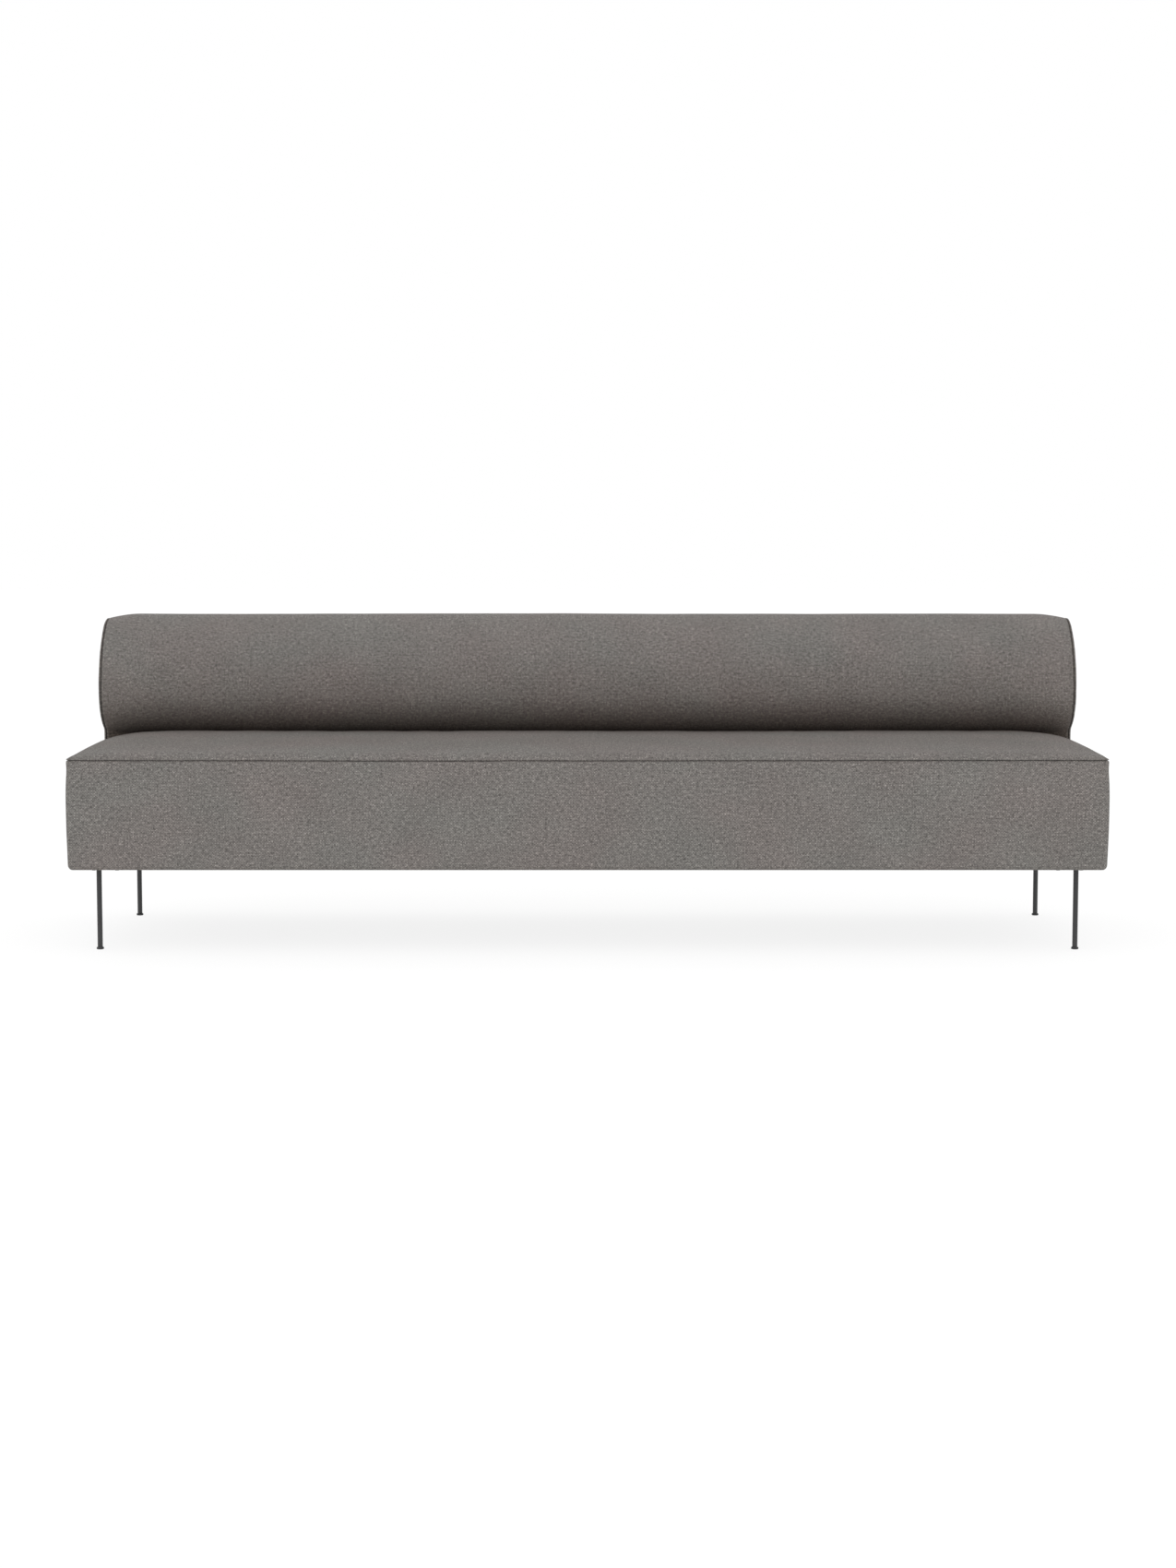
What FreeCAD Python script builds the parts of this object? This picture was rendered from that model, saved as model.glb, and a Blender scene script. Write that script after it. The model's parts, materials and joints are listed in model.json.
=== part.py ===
import FreeCAD, Part
import math
import os

import Sketcher
from FreeCAD import Vector

# Armless sofa: a long upholstered bench seat with a rolled back, on four rod legs.
# +X runs along the sofa, +Y to its back, +Z up. The origin lies on the floor below its middle.
# All sizes are in millimetres.

doc = FreeCAD.newDocument("ArmlessSofa")
dims = doc.addObject("Spreadsheet::Sheet", "dims")

driving_sizes = [
    # whole object
    ("overall_width", 2400),
    ("overall_depth", 690),
    ("corner_radius", 16),
    # cloth, foam and fit
    ("cover_thickness", 2),
    ("dust_cover_thickness", 1),
    ("soft_gap", 0.3),
    ("wood_gap", 0.2),
    # legs and glides
    ("leg_inset", 63),
    ("rod_diameter", 12),
    ("rod_length", 183),
    ("plate_side", 80),
    ("plate_chamfer", 7),
    ("plate_thickness", 4),
    ("plate_offset", 17),
    ("plate_hole_diameter", 6.5),
    ("plate_hole_margin", 13),
    ("glide_diameter", 17),
    ("glide_height", 6),
    ("stud_diameter", 6),
    ("stud_length", 20),
    ("stud_free_depth", 4),
    ("stud_clearance", 0.15),
    # seat frame
    ("rail_inset", 12),
    ("rail_height", 100),
    ("rail_thickness", 27),
    ("rear_rail_height", 180),
    ("cross_rail_spacing", 600),
    ("cross_rail_shoulder", 40),
    ("cross_rail_dip", 22),
    ("tenon_thickness", 12),
    ("tenon_length", 12),
    ("tenon_margin", 15),
    ("block_side", 116),
    ("block_nose", 62),
    ("block_height", 60),
    ("housing_depth", 5),
    # webbing
    ("strap_width", 50),
    ("strap_thickness", 2.4),
    ("strap_slant", 40),
    ("strap_end_margin", 5),
    ("cross_strap_count", 16),
    ("long_strap_count", 2),
    # seat upholstery
    ("foam_edge_height", 144),
    ("crown_rise", 40),
    ("crown_run", 234),
    ("crown_lip", 3),
    ("front_roll_run", 6),
    ("front_roll_share", 0.26),
    ("shoulder_run", 24),
    ("shoulder_share", 0.43),
    ("crest_place", 0.39),
    ("crest_share", 0.88),
    ("rear_roll_run", 34),
    ("rear_roll_share", 0.86),
    ("tuck_run", 9),
    ("tuck_share", 0.66),
    ("tuck_end_share", 0.35),
    ("seam_draw", 6),
    ("foot_draw", 2),
    ("lower_roll", 10),
    ("widest_height", 350),
    ("turn_in", 22),
    ("dust_cover_inset", 20),
    ("pad_inset", 5),
    # rolled back
    ("neck_depth", 193.5),
    ("neck_rise", 17),
    ("neck_fillet", 15),
    ("overhang_angle", 66),
    ("overhang_radius", 115),
    ("face_angle", 55),
    ("face_radius", 203),
    ("top_radius", 105),
    ("top_flat", 13.8),
    ("end_draw", 10.8),
    ("end_draw_length", 75),
    ("end_bulge", 8.5),
    ("end_bulge_run", 50),
    # back frame
    ("former_thickness", 18),
    ("skin_thickness", 3),
    ("batten_width", 40),
    ("batten_thickness", 20),
    ("batten_recess", 3),
    ("batten_lift", 5),
]

for row, (alias, number) in enumerate(driving_sizes, start=1):
    dims.set(f"A{row}", alias)
    dims.set(f"B{row}", str(number))
    dims.setAlias(f"B{row}", alias)
doc.recompute()

# A plain primitive that only serves to work out expressions on the sheet.
gauge = doc.addObject("Part::Box", "gauge")


def size(text):
    """Value of an expression on the sheet, in millimetres or plain numbers."""
    return float(gauge.evalExpression(text))


# Levels from the floor up
plate_base = "(dims.glide_height + dims.rod_length)"
plate_top = f"({plate_base} + dims.plate_thickness)"
cloth_base = f"({plate_top} + dims.dust_cover_thickness)"
rail_base = f"({cloth_base} + dims.cover_thickness)"
rail_top = f"({rail_base} + dims.rail_height)"
rear_rail_top = f"({rail_base} + dims.rear_rail_height)"
block_top = f"({cloth_base} + dims.block_height)"
foam_base = f"({rail_top} + 2 * dims.strap_thickness + 2 * dims.soft_gap)"
seam_level = f"({foam_base} + dims.foam_edge_height)"

# Planes from the middle outwards and from front to back
half_width = "(dims.overall_width / 2)"
front_plane = "(-dims.overall_depth / 2)"
rear_plane = "(dims.overall_depth / 2)"
neck_plane = f"({rear_plane} - dims.neck_depth)"
rail_reach = "(dims.rail_inset + dims.rail_thickness)"
rail_outer_x = f"({half_width} - dims.rail_inset)"
rail_inner_x = f"({half_width} - {rail_reach})"
front_rail_rear = f"({front_plane} + {rail_reach})"
rear_rail_front = f"({rear_plane} - {rail_reach})"
rest_rail_front = f"({neck_plane} + dims.rail_inset)"
rest_rail_rear = f"({neck_plane} + {rail_reach})"
leg_x = f"({half_width} - dims.leg_inset)"
leg_y = f"({rear_plane} - dims.leg_inset)"
former_inset = f"({rail_reach} + dims.wood_gap)"
skin_inset = f"({former_inset} - dims.skin_thickness)"
former_end_x = f"({rail_inner_x} - dims.wood_gap)"

nodes = {}


def keep(name, piece):
    """Name a finished piece; its label names its file."""
    piece.Label = name
    nodes[name] = piece
    return piece


def place(piece, across="0", along="0", up="0"):
    """Bind the place of a piece to the sheet."""
    for axis, text in (("x", across), ("y", along), ("z", up)):
        piece.setExpression(f".Placement.Base.{axis}", text)


def box(name, length, width, height, across, along, up):
    """A board or block from its near left lower corner."""
    piece = doc.addObject("Part::Box", name)
    piece.setExpression("Length", length)
    piece.setExpression("Width", width)
    piece.setExpression("Height", height)
    place(piece, across, along, up)
    return piece


def cut(name, base, tools):
    """One piece with pockets, mortises or bores taken out of it."""
    pocket_group = doc.addObject("Part::Compound", f"{name}_cuts")
    pocket_group.Links = tools
    piece = doc.addObject("Part::Cut", f"{name}_body")
    piece.Base = base
    piece.Tool = pocket_group
    return piece


def form(name, shape):
    """A piece whose shape comes straight from profiles and lofts."""
    piece = doc.addObject("Part::Feature", f"{name}_form")
    piece.Shape = shape
    return keep(name, piece)


def origin_item(body, role):
    return next(item for item in body.Origin.OriginFeatures if item.Role == role)


def sketch_on(body, name, role, lift=None):
    """A sketch on one of the body's own origin planes, lifted off it where needed."""
    sketch = body.newObject("Sketcher::SketchObject", name)
    sketch.AttachmentSupport = [(origin_item(body, role), "")]
    sketch.MapMode = "FlatFace"
    if lift:
        sketch.setExpression(".AttachmentOffset.Base.z", lift)
    return sketch


def bind(sketch, constraint, name, text):
    """Add a constraint, name it and bind it to the sheet."""
    index = sketch.addConstraint(constraint)
    sketch.renameConstraint(index, name)
    sketch.setExpression(f"Constraints.{name}", text)


def polygon(sketch, corners):
    """A closed outline of straight edges whose corners are bound to the sheet."""
    first = sketch.GeometryCount
    points = [Vector(size(across), size(up), 0) for across, up in corners]
    count = len(points)
    for index, point in enumerate(points):
        sketch.addGeometry(Part.LineSegment(point, points[(index + 1) % count]), False)
    for index in range(count):
        following = first + (index + 1) % count
        sketch.addConstraint(Sketcher.Constraint("Coincident", first + index, 2, following, 1))
    for index, (across, up) in enumerate(corners):
        edge = first + index
        point = points[index]
        bind(sketch, Sketcher.Constraint("DistanceX", -1, 1, edge, 1, point.x), f"across_{edge}", across)
        bind(sketch, Sketcher.Constraint("DistanceY", -1, 1, edge, 1, point.y), f"upward_{edge}", up)


def circle(sketch, across, up, diameter):
    """A circle with its centre and size bound to the sheet."""
    centre = Vector(size(across), size(up), 0)
    edge = sketch.addGeometry(Part.Circle(centre, Vector(0, 0, 1), size(diameter) / 2), False)
    bind(sketch, Sketcher.Constraint("DistanceX", -1, 1, edge, 3, centre.x), f"across_{edge}", across)
    bind(sketch, Sketcher.Constraint("DistanceY", -1, 1, edge, 3, centre.y), f"upward_{edge}", up)
    bind(sketch, Sketcher.Constraint("Diameter", edge, size(diameter)), f"round_{edge}", diameter)


def pad(body, sketch, length, reverse=False):
    feature = body.newObject("PartDesign::Pad", f"{sketch.Name}_pad")
    feature.Profile = sketch
    feature.setExpression("Length", length)
    feature.Reversed = reverse
    doc.recompute()
    return feature


def pocket(body, sketch, depth, reverse=False):
    """Cut a pocket and make sure that it took something away."""
    before = body.Shape.Volume
    feature = body.newObject("PartDesign::Pocket", f"{sketch.Name}_pocket")
    feature.Profile = sketch
    feature.setExpression("Length", depth)
    feature.Reversed = reverse
    doc.recompute()
    if body.Shape.Volume >= before:
        raise RuntimeError(f"{sketch.Name} cuts nothing")
    return feature


def revolve(body, sketch):
    """Turn an outline about the upright axis of its sketch."""
    feature = body.newObject("PartDesign::Revolution", f"{sketch.Name}_turned")
    feature.Profile = sketch
    feature.ReferenceAxis = (sketch, ["V_Axis"])
    feature.Angle = 360
    doc.recompute()
    return feature


# Legs: a rod welded to a square plate, bored at its foot for the glide's stud

corner_places = [
    ("front_left", -1, -1),
    ("front_right", 1, -1),
    ("rear_left", -1, 1),
    ("rear_right", 1, 1),
]


def square(centre_x, centre_y, half, chamfer):
    """Corners of a square plate with its four corners cut off."""
    near = f"({half} - {chamfer})"
    return [
        (f"{centre_x} {sign_x} {reach_x}", f"{centre_y} {sign_y} {reach_y}")
        for sign_x, reach_x, sign_y, reach_y in (
            ("-", near, "-", half), ("+", near, "-", half),
            ("+", half, "-", near), ("+", half, "+", near),
            ("+", near, "+", half), ("-", near, "+", half),
            ("-", half, "+", near), ("-", half, "-", near),
        )
    ]


def make_leg(corner, side_x, side_y):
    body = doc.addObject("PartDesign::Body", f"leg_{corner}_body")
    rod = sketch_on(body, f"leg_{corner}_rod", "XZ_Plane")
    radius = "(dims.rod_diameter / 2)"
    bore = "(dims.stud_diameter / 2 + dims.stud_clearance)"
    bore_top = "(dims.stud_length + dims.stud_free_depth - dims.rod_length)"
    polygon(rod, [
        ("0", "0"),
        (radius, "0"),
        (radius, "-dims.rod_length"),
        (bore, "-dims.rod_length"),
        (bore, bore_top),
        ("0", bore_top),
    ])
    revolve(body, rod)
    plate = sketch_on(body, f"leg_{corner}_plate", "XY_Plane")
    offset_x = f"({-side_x} * dims.plate_offset)"
    offset_y = f"({-side_y} * dims.plate_offset)"
    polygon(plate, square(offset_x, offset_y, "(dims.plate_side / 2)", "dims.plate_chamfer"))
    pad(body, plate, "dims.plate_thickness")
    holes = sketch_on(body, f"leg_{corner}_holes", "XY_Plane")
    hole_reach = "(dims.plate_side / 2 - dims.plate_hole_margin)"
    for step_x in (-1, 1):
        for step_y in (-1, 1):
            circle(holes, f"{offset_x} + {step_x} * {hole_reach}",
                   f"{offset_y} + {step_y} * {hole_reach}", "dims.plate_hole_diameter")
    pocket(body, holes, "dims.plate_thickness", reverse=True)
    place(body, f"{side_x} * {leg_x}", f"{side_y} * {leg_y}", plate_base)
    keep(f"leg_{corner}", body)


def turned_bar(name, diameter, length):
    """A plain turned bar on the upright axis."""
    body = doc.addObject("PartDesign::Body", f"{name}_body")
    outline = sketch_on(body, f"{name}_outline", "XZ_Plane")
    radius = f"({diameter} / 2)"
    polygon(outline, [("0", "0"), (radius, "0"), (radius, length), ("0", length)])
    revolve(body, outline)
    return body


def make_glide(corner, side_x, side_y):
    """A moulded disc under the rod, with a threaded stud that screws up into it."""
    disc = turned_bar(f"glide_{corner}", "dims.glide_diameter", "dims.glide_height")
    place(disc, f"{side_x} * {leg_x}", f"{side_y} * {leg_y}", "0")
    keep(f"glide_{corner}", disc)
    stud = turned_bar(f"glide_stud_{corner}", "dims.stud_diameter", "dims.stud_length")
    place(stud, f"{side_x} * {leg_x}", f"{side_y} * {leg_y}", "dims.glide_height")
    keep(f"glide_stud_{corner}", stud)


for corner, side_x, side_y in corner_places:
    make_leg(corner, side_x, side_y)
    make_glide(corner, side_x, side_y)


def repeat(shape, places):
    """Copies of one shape at several places, as separate solids."""
    copies = []
    for point in places:
        copied = shape.copy()
        copied.translate(Vector(*point))
        copies.append(copied)
    return Part.makeCompound(copies)


# Seat frame

cross_rail_places = [
    ("left", "(-dims.cross_rail_spacing)"),
    ("middle", "0"),
    ("right", "dims.cross_rail_spacing"),
]
side_rail_x = f"({rail_inner_x} + dims.rail_thickness / 2)"
side_rail_places = [("left_end", f"(-{side_rail_x})"), ("right_end", side_rail_x)]


def mortises(name, along, rail_places):
    """Mortises for the rails that end here, a little larger than their tenons."""
    return [
        box(
            f"{name}_mortise_{place_name}",
            "dims.tenon_thickness + 2 * dims.wood_gap",
            "dims.tenon_length + dims.wood_gap + 1",
            "dims.rail_height - 2 * dims.tenon_margin + 2 * dims.wood_gap",
            f"{across} - dims.tenon_thickness / 2 - dims.wood_gap",
            along,
            f"{rail_base} + dims.tenon_margin - dims.wood_gap",
        )
        for place_name, across in rail_places
    ]


# Formers stand in housings between the back rest rail and the rear rail
former_names = ["left_end", "left", "middle", "right", "right_end"]
former_step = f"(({former_end_x} - dims.former_thickness / 2) / 2)"
former_places = [f"({number} * {former_step})" for number in range(-2, 3)]
tongue_base = f"({block_top} + dims.wood_gap)"


def housings(name, along, rail_height):
    """Grooves that the formers' tongues drop into."""
    return [
        box(
            f"{name}_housing_{former}",
            "dims.former_thickness + 2 * dims.wood_gap",
            "dims.housing_depth + 1",
            f"{rail_height} - ({tongue_base} - {rail_base}) + dims.wood_gap + 1",
            f"{across} - dims.former_thickness / 2 - dims.wood_gap",
            along,
            f"{tongue_base} - dims.wood_gap",
        )
        for former, across in zip(former_names, former_places)
    ]


long_rail_length = f"2 * {rail_outer_x}"
front_blank = box("front_rail_blank", long_rail_length, "dims.rail_thickness", "dims.rail_height",
                  f"-{rail_outer_x}", f"{front_plane} + dims.rail_inset", rail_base)
front_mortises = mortises("front_rail", f"{front_rail_rear} - dims.tenon_length - dims.wood_gap",
                          cross_rail_places + side_rail_places)
keep("front_rail", cut("front_rail", front_blank, front_mortises))

rest_blank = box("back_rest_rail_blank", f"2 * {former_end_x}", "dims.rail_thickness", "dims.rail_height",
                 f"-{former_end_x}", rest_rail_front, rail_base)
rest_cuts = mortises("back_rest_rail", f"{rest_rail_front} - 1", cross_rail_places)
rest_cuts += housings("back_rest_rail", f"{rest_rail_rear} - dims.housing_depth", "dims.rail_height")
keep("back_rest_rail", cut("back_rest_rail", rest_blank, rest_cuts))

rear_blank = box("rear_rail_blank", long_rail_length, "dims.rail_thickness", "dims.rear_rail_height",
                 f"-{rail_outer_x}", rear_rail_front, rail_base)
rear_cuts = mortises("rear_rail", f"{rear_rail_front} - 1", side_rail_places)
rear_cuts += housings("rear_rail", f"{rear_rail_front} - 1", "dims.rear_rail_height")
keep("rear_rail", cut("rear_rail", rear_blank, rear_cuts))


def tenons(body, name, front, rear):
    """A thinner bar through the rail that stands out at both ends as its tenons."""
    sketch = sketch_on(body, f"{name}_tenons", "YZ_Plane", "-dims.tenon_thickness / 2")
    low = f"{rail_base} + dims.tenon_margin"
    high = f"{rail_top} - dims.tenon_margin"
    polygon(sketch, [
        (f"{front} - dims.tenon_length", low),
        (f"{front} + dims.tenon_length", low),
        (f"{front} + dims.tenon_length", high),
        (f"{front} - dims.tenon_length", high),
    ])
    polygon(sketch, [
        (f"{rear} - dims.tenon_length", low),
        (f"{rear} + dims.tenon_length", low),
        (f"{rear} + dims.tenon_length", high),
        (f"{rear} - dims.tenon_length", high),
    ])
    pad(body, sketch, "dims.tenon_thickness")


def make_side_rail(side_name, side):
    """A side rail with an upstand at the rear that carries the end of the back."""
    name = f"side_rail_{side_name}"
    body = doc.addObject("PartDesign::Body", f"{name}_body")
    outline = sketch_on(body, f"{name}_outline", "YZ_Plane", "-dims.rail_thickness / 2")
    front = f"({front_rail_rear} + dims.wood_gap)"
    rear = f"({rear_rail_front} - dims.wood_gap)"
    upstand_top = f"{seam_level} - dims.wood_gap"
    polygon(outline, [
        (front, rail_base),
        (rear, rail_base),
        (rear, upstand_top),
        (rest_rail_rear, upstand_top),
        (rest_rail_rear, f"{rail_top} + dims.rail_thickness"),
        (rest_rail_front, rail_top),
        (front, rail_top),
    ])
    pad(body, outline, "dims.rail_thickness")
    tenons(body, name, front, rear)
    place(body, f"{side} * {side_rail_x}")
    keep(name, body)


make_side_rail("left", -1)
make_side_rail("right", 1)


def make_cross_rail(place_name, across):
    """A cross rail with a dipped top, so that the webbing can sink, and a tenon at each end."""
    name = f"cross_rail_{place_name}"
    body = doc.addObject("PartDesign::Body", f"{name}_body")
    front = f"({front_rail_rear} + dims.wood_gap)"
    rear = f"({rest_rail_front} - dims.wood_gap)"
    dip_level = f"{rail_top} - dims.cross_rail_dip"
    outline = sketch_on(body, f"{name}_outline", "YZ_Plane", "-dims.rail_thickness / 2")
    polygon(outline, [
        (front, rail_base),
        (rear, rail_base),
        (rear, rail_top),
        (f"{rear} - dims.cross_rail_shoulder", rail_top),
        (f"{rear} - dims.cross_rail_shoulder - dims.cross_rail_dip", dip_level),
        (f"{front} + dims.cross_rail_shoulder + dims.cross_rail_dip", dip_level),
        (f"{front} + dims.cross_rail_shoulder", rail_top),
        (front, rail_top),
    ])
    pad(body, outline, "dims.rail_thickness")
    tenons(body, name, front, rear)
    place(body, across)
    keep(name, body)


for place_name, across in cross_rail_places:
    make_cross_rail(place_name, across)


def make_corner_block(corner, side_x, side_y):
    """A glued block in each corner of the frame; the leg plate bears on its underside.

    The rear blocks fill the room between the rear rail and the back rest rail.
    """
    body = doc.addObject("PartDesign::Body", f"corner_block_{corner}_body")
    outline = sketch_on(body, f"corner_block_{corner}_outline", "XY_Plane")
    depth = "dims.block_side"
    if side_y > 0:
        depth = f"({rear_rail_front} - {rest_rail_rear} - 2 * dims.wood_gap)"
    polygon(outline, [
        ("0", "0"),
        (f"{-side_x} * dims.block_side", "0"),
        (f"{-side_x} * dims.block_side", f"{-side_y} * dims.block_nose"),
        (f"{-side_x} * dims.block_nose", f"{-side_y} * {depth}"),
        ("0", f"{-side_y} * {depth}"),
    ])
    pad(body, outline, "dims.block_height")
    corner_x = f"({rail_inner_x} - dims.wood_gap)"
    corner_y = f"({rear_rail_front} - dims.wood_gap)"
    place(body, f"{side_x} * {corner_x}", f"{side_y} * {corner_y}", cloth_base)
    keep(f"corner_block_{corner}", body)


for corner, side_x, side_y in corner_places:
    make_corner_block(corner, side_x, side_y)


# Webbing: flat straps from front to back, and long straps woven over and under them

strap_count = int(size("dims.cross_strap_count"))
strap_pitch = 2 * size(rail_inner_x) / (strap_count + 1)
strap_centres = [(number - (strap_count - 1) / 2) * strap_pitch for number in range(strap_count)]


def make_cross_straps():
    margin = size("dims.strap_end_margin")
    start = size(front_plane) + size("dims.rail_inset") + margin
    end = size(rest_rail_rear) - margin
    strap = Part.makeBox(size("dims.strap_width"), end - start, size("dims.strap_thickness"))
    places = [(centre - size("dims.strap_width") / 2, start, size(rail_top)) for centre in strap_centres]
    form("seat_straps_cross", repeat(strap, places))


def make_long_straps():
    """Each long strap passes over one cross strap and under the next."""
    thickness = size("dims.strap_thickness")
    gap = size("dims.soft_gap")
    over = size(rail_top) + thickness + gap
    under = size(rail_top) - thickness - gap
    slant = size("dims.strap_slant") / 2
    reach = size(rail_outer_x) - size("dims.strap_end_margin")
    count = int(size("dims.long_strap_count"))
    span = size(rest_rail_front) - size(front_rail_rear)
    straps = []
    for number in range(count):
        levels = [over if (index + number) % 2 == 0 else under for index in range(strap_count)]
        lower = [(-reach, over)]
        previous = over
        for index, level in enumerate(levels):
            middle = strap_centres[index] - strap_pitch / 2
            if level != previous:
                lower += [(middle - slant / 2, previous), (middle + slant / 2, level)]
            previous = level
        if previous != over:
            middle = strap_centres[-1] + strap_pitch / 2
            lower += [(middle - slant / 2, previous), (middle + slant / 2, over)]
        lower.append((reach, over))
        upper = [(across, level + thickness) for across, level in reversed(lower)]
        front = size(front_rail_rear) + span * (number + 1) / (count + 1) - size("dims.strap_width") / 2
        points = [Vector(across, front, level) for across, level in lower + upper]
        face = Part.Face(Part.makePolygon(points + [points[0]]))
        straps.append(face.extrude(Vector(0, size("dims.strap_width"), 0)))
    form("seat_straps_long", Part.makeCompound(straps))


make_cross_straps()
make_long_straps()


# Seat upholstery


def rounded_rectangle(inset, level):
    """Plan outline of the seat block, drawn in by an inset, at a level."""
    reach_x = size(half_width) - inset
    reach_y = size(rear_plane) - inset
    radius = size("dims.corner_radius") - inset
    turn = radius * (1 - math.sqrt(0.5))
    edges = []
    for side_x, side_y in ((1, -1), (1, 1), (-1, 1), (-1, -1)):
        first = Vector(side_x * (reach_x - radius), side_y * reach_y, level)
        second = Vector(side_x * reach_x, side_y * (reach_y - radius), level)
        middle = Vector(side_x * (reach_x - turn), side_y * (reach_y - turn), level)
        start, end = (first, second) if side_x * side_y < 0 else (second, first)
        if edges:
            edges.append(Part.LineSegment(edges[-1].EndPoint, start))
        edges.append(Part.Arc(start, middle, end))
    edges.append(Part.LineSegment(edges[-1].EndPoint, edges[0].StartPoint))
    return Part.Wire([edge.toShape() for edge in edges])


# Sections of the border: turns in degrees round its lower roll, and shares of the way from its
# widest level up to the seam. The room inside the cloth has fewer of them.
outer_stations = ((0, 45, 90), (0.6, 1))
inner_stations = ((0, 90), (1,))


def border_form(stations, shrink=0):
    """Solid of the padded border, or of the room inside its cloth."""
    turns, shares = stations
    roll = size("dims.lower_roll")
    seam = size(seam_level)
    widest = size("dims.widest_height")
    wires = []
    for turn in turns:
        angle = math.radians(turn)
        level = size(cloth_base) + roll - (roll - shrink) * math.cos(angle)
        inset = size("dims.foot_draw") + roll - (roll - shrink) * math.sin(angle)
        wires.append(rounded_rectangle(inset, level))
    wires.append(rounded_rectangle(shrink, widest))
    for share in shares:
        level = widest + (seam + shrink - widest) * share
        wires.append(rounded_rectangle(size("dims.seam_draw") * share ** 2 + shrink, level))
    return Part.makeLoft(wires, True, True)


def prism(inset, low, high):
    """Upright prism of the plan outline, with square corners."""
    reach_x = size(half_width) - inset
    reach_y = size(rear_plane) - inset
    return Part.makeBox(2 * reach_x, 2 * reach_y, high - low, Vector(-reach_x, -reach_y, low))


def make_border_cover():
    cloth = size("dims.cover_thickness")
    shell = border_form(outer_stations).cut(border_form(inner_stations, cloth))
    window = prism(size("dims.lower_roll") + size("dims.foot_draw") + size("dims.turn_in"),
                   size(cloth_base) - 1, size(rail_base) + 1)
    form("seat_border_cover", shell.cut(window))


def make_border_padding():
    """Thin foam glued round the outside of the rails."""
    low = size(cloth_base) + size("dims.lower_roll")
    high = size(foam_base) - size("dims.soft_gap")
    outer = rounded_rectangle(size("dims.pad_inset"), low)
    inner_inset = size("dims.rail_inset") - size("dims.soft_gap")
    ring = Part.Face(outer).extrude(Vector(0, 0, high - low))
    form("border_padding", ring.cut(prism(inner_inset, low - 1, high + 1)))


def crown_height(run):
    """Height of the crown at a distance in from the end seam."""
    share = min(run / size("dims.crown_run"), 1)
    lift = (1 - (1 - share) ** 4) ** 0.8
    lip = size("dims.crown_lip")
    return lip + (size("dims.crown_rise") - lip) * lift


def crown_section(across, run, shrink, base):
    """Front-to-back section of the seat: steep at the front seam, crowned, tucked down under the roll."""
    seam = size(seam_level)
    height = crown_height(run) - shrink
    corner = size("dims.corner_radius") - size("dims.seam_draw") + shrink
    dip = max(corner - run, 0)
    rounding = corner - math.sqrt(corner * corner - dip * dip)
    front = size(front_plane) + size("dims.seam_draw") + shrink + rounding
    rear = size(neck_plane) - size("dims.soft_gap") - shrink

    def point(along, share):
        return Vector(across, along, seam + height * share)

    seam_point = point(front, 0)
    front_roll = point(front + size("dims.front_roll_run"), size("dims.front_roll_share"))
    shoulder = point(front + size("dims.shoulder_run"), size("dims.shoulder_share"))
    crest = point(front + (rear - front) * size("dims.crest_place"), size("dims.crest_share"))
    rear_roll = point(rear - size("dims.rear_roll_run"), size("dims.rear_roll_share"))
    tuck = point(rear - size("dims.tuck_run"), size("dims.tuck_share"))
    tuck_end = point(rear, size("dims.tuck_end_share"))
    rear_foot = Vector(across, rear, base)
    front_foot = Vector(across, front, base)
    edges = [
        Part.Arc(seam_point, front_roll, shoulder),
        Part.Arc(shoulder, crest, rear_roll),
        Part.Arc(rear_roll, tuck, tuck_end),
        Part.LineSegment(tuck_end, rear_foot),
        Part.LineSegment(rear_foot, front_foot),
    ]
    if base < seam:
        edges.append(Part.LineSegment(front_foot, seam_point))
    return Part.Wire([edge.toShape() for edge in edges])


def along_sofa(section, reach, runs, shrink=0):
    """Solids of a lofted left end, a straight middle and a lofted right end."""
    kept_runs = [max(run, shrink) for run in runs]
    wires = [section(-reach + run, run) for run in kept_runs]
    left = Part.makeLoft(wires, True, True)
    middle = Part.Face(wires[-1]).extrude(Vector(2 * (reach - runs[-1]), 0, 0))
    right = left.mirror(Vector(0, 0, 0), Vector(1, 0, 0))
    return [left, middle, right]


def joined(solids):
    """Solids that share whole end faces, as one solid."""
    return solids[0].fuse(solids[1:]).removeSplitter()


def hollowed(outers, inners):
    """Cloth shell: each outer stretch less the matching inner one."""
    return joined([outer.cut(inner) for outer, inner in zip(outers, inners)])


# Places of the crown's sections, as shares of the run over which it rises
crown_stations = (0, 0.025, 0.08, 0.2, 0.42, 0.7, 1)


def crown_form(shrink, base):
    """Seat block with its crown, drawn down towards both end seams."""

    def section(across, run):
        return crown_section(across, run, shrink, base)

    runs = [size("dims.crown_run") * share for share in crown_stations]
    return along_sofa(section, size(half_width) - size("dims.seam_draw"), runs, shrink)


def make_seat():
    cloth = size("dims.cover_thickness")
    gap = size("dims.soft_gap")
    seam = size(seam_level)
    form("seat_top_cover", hollowed(crown_form(0, seam), crown_form(cloth, seam - 2 * cloth)))
    form("seat_foam", joined(crown_form(cloth + gap, size(foam_base))))


def make_dust_cover():
    base = size(plate_top)
    form("dust_cover", prism(size("dims.dust_cover_inset"), base, size(cloth_base)))


make_border_cover()
make_border_padding()
make_seat()
make_dust_cover()


# Rolled back: a neck that rises from the seat into a forward-leaning roll

beyond = size(rear_plane) + 100


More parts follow.
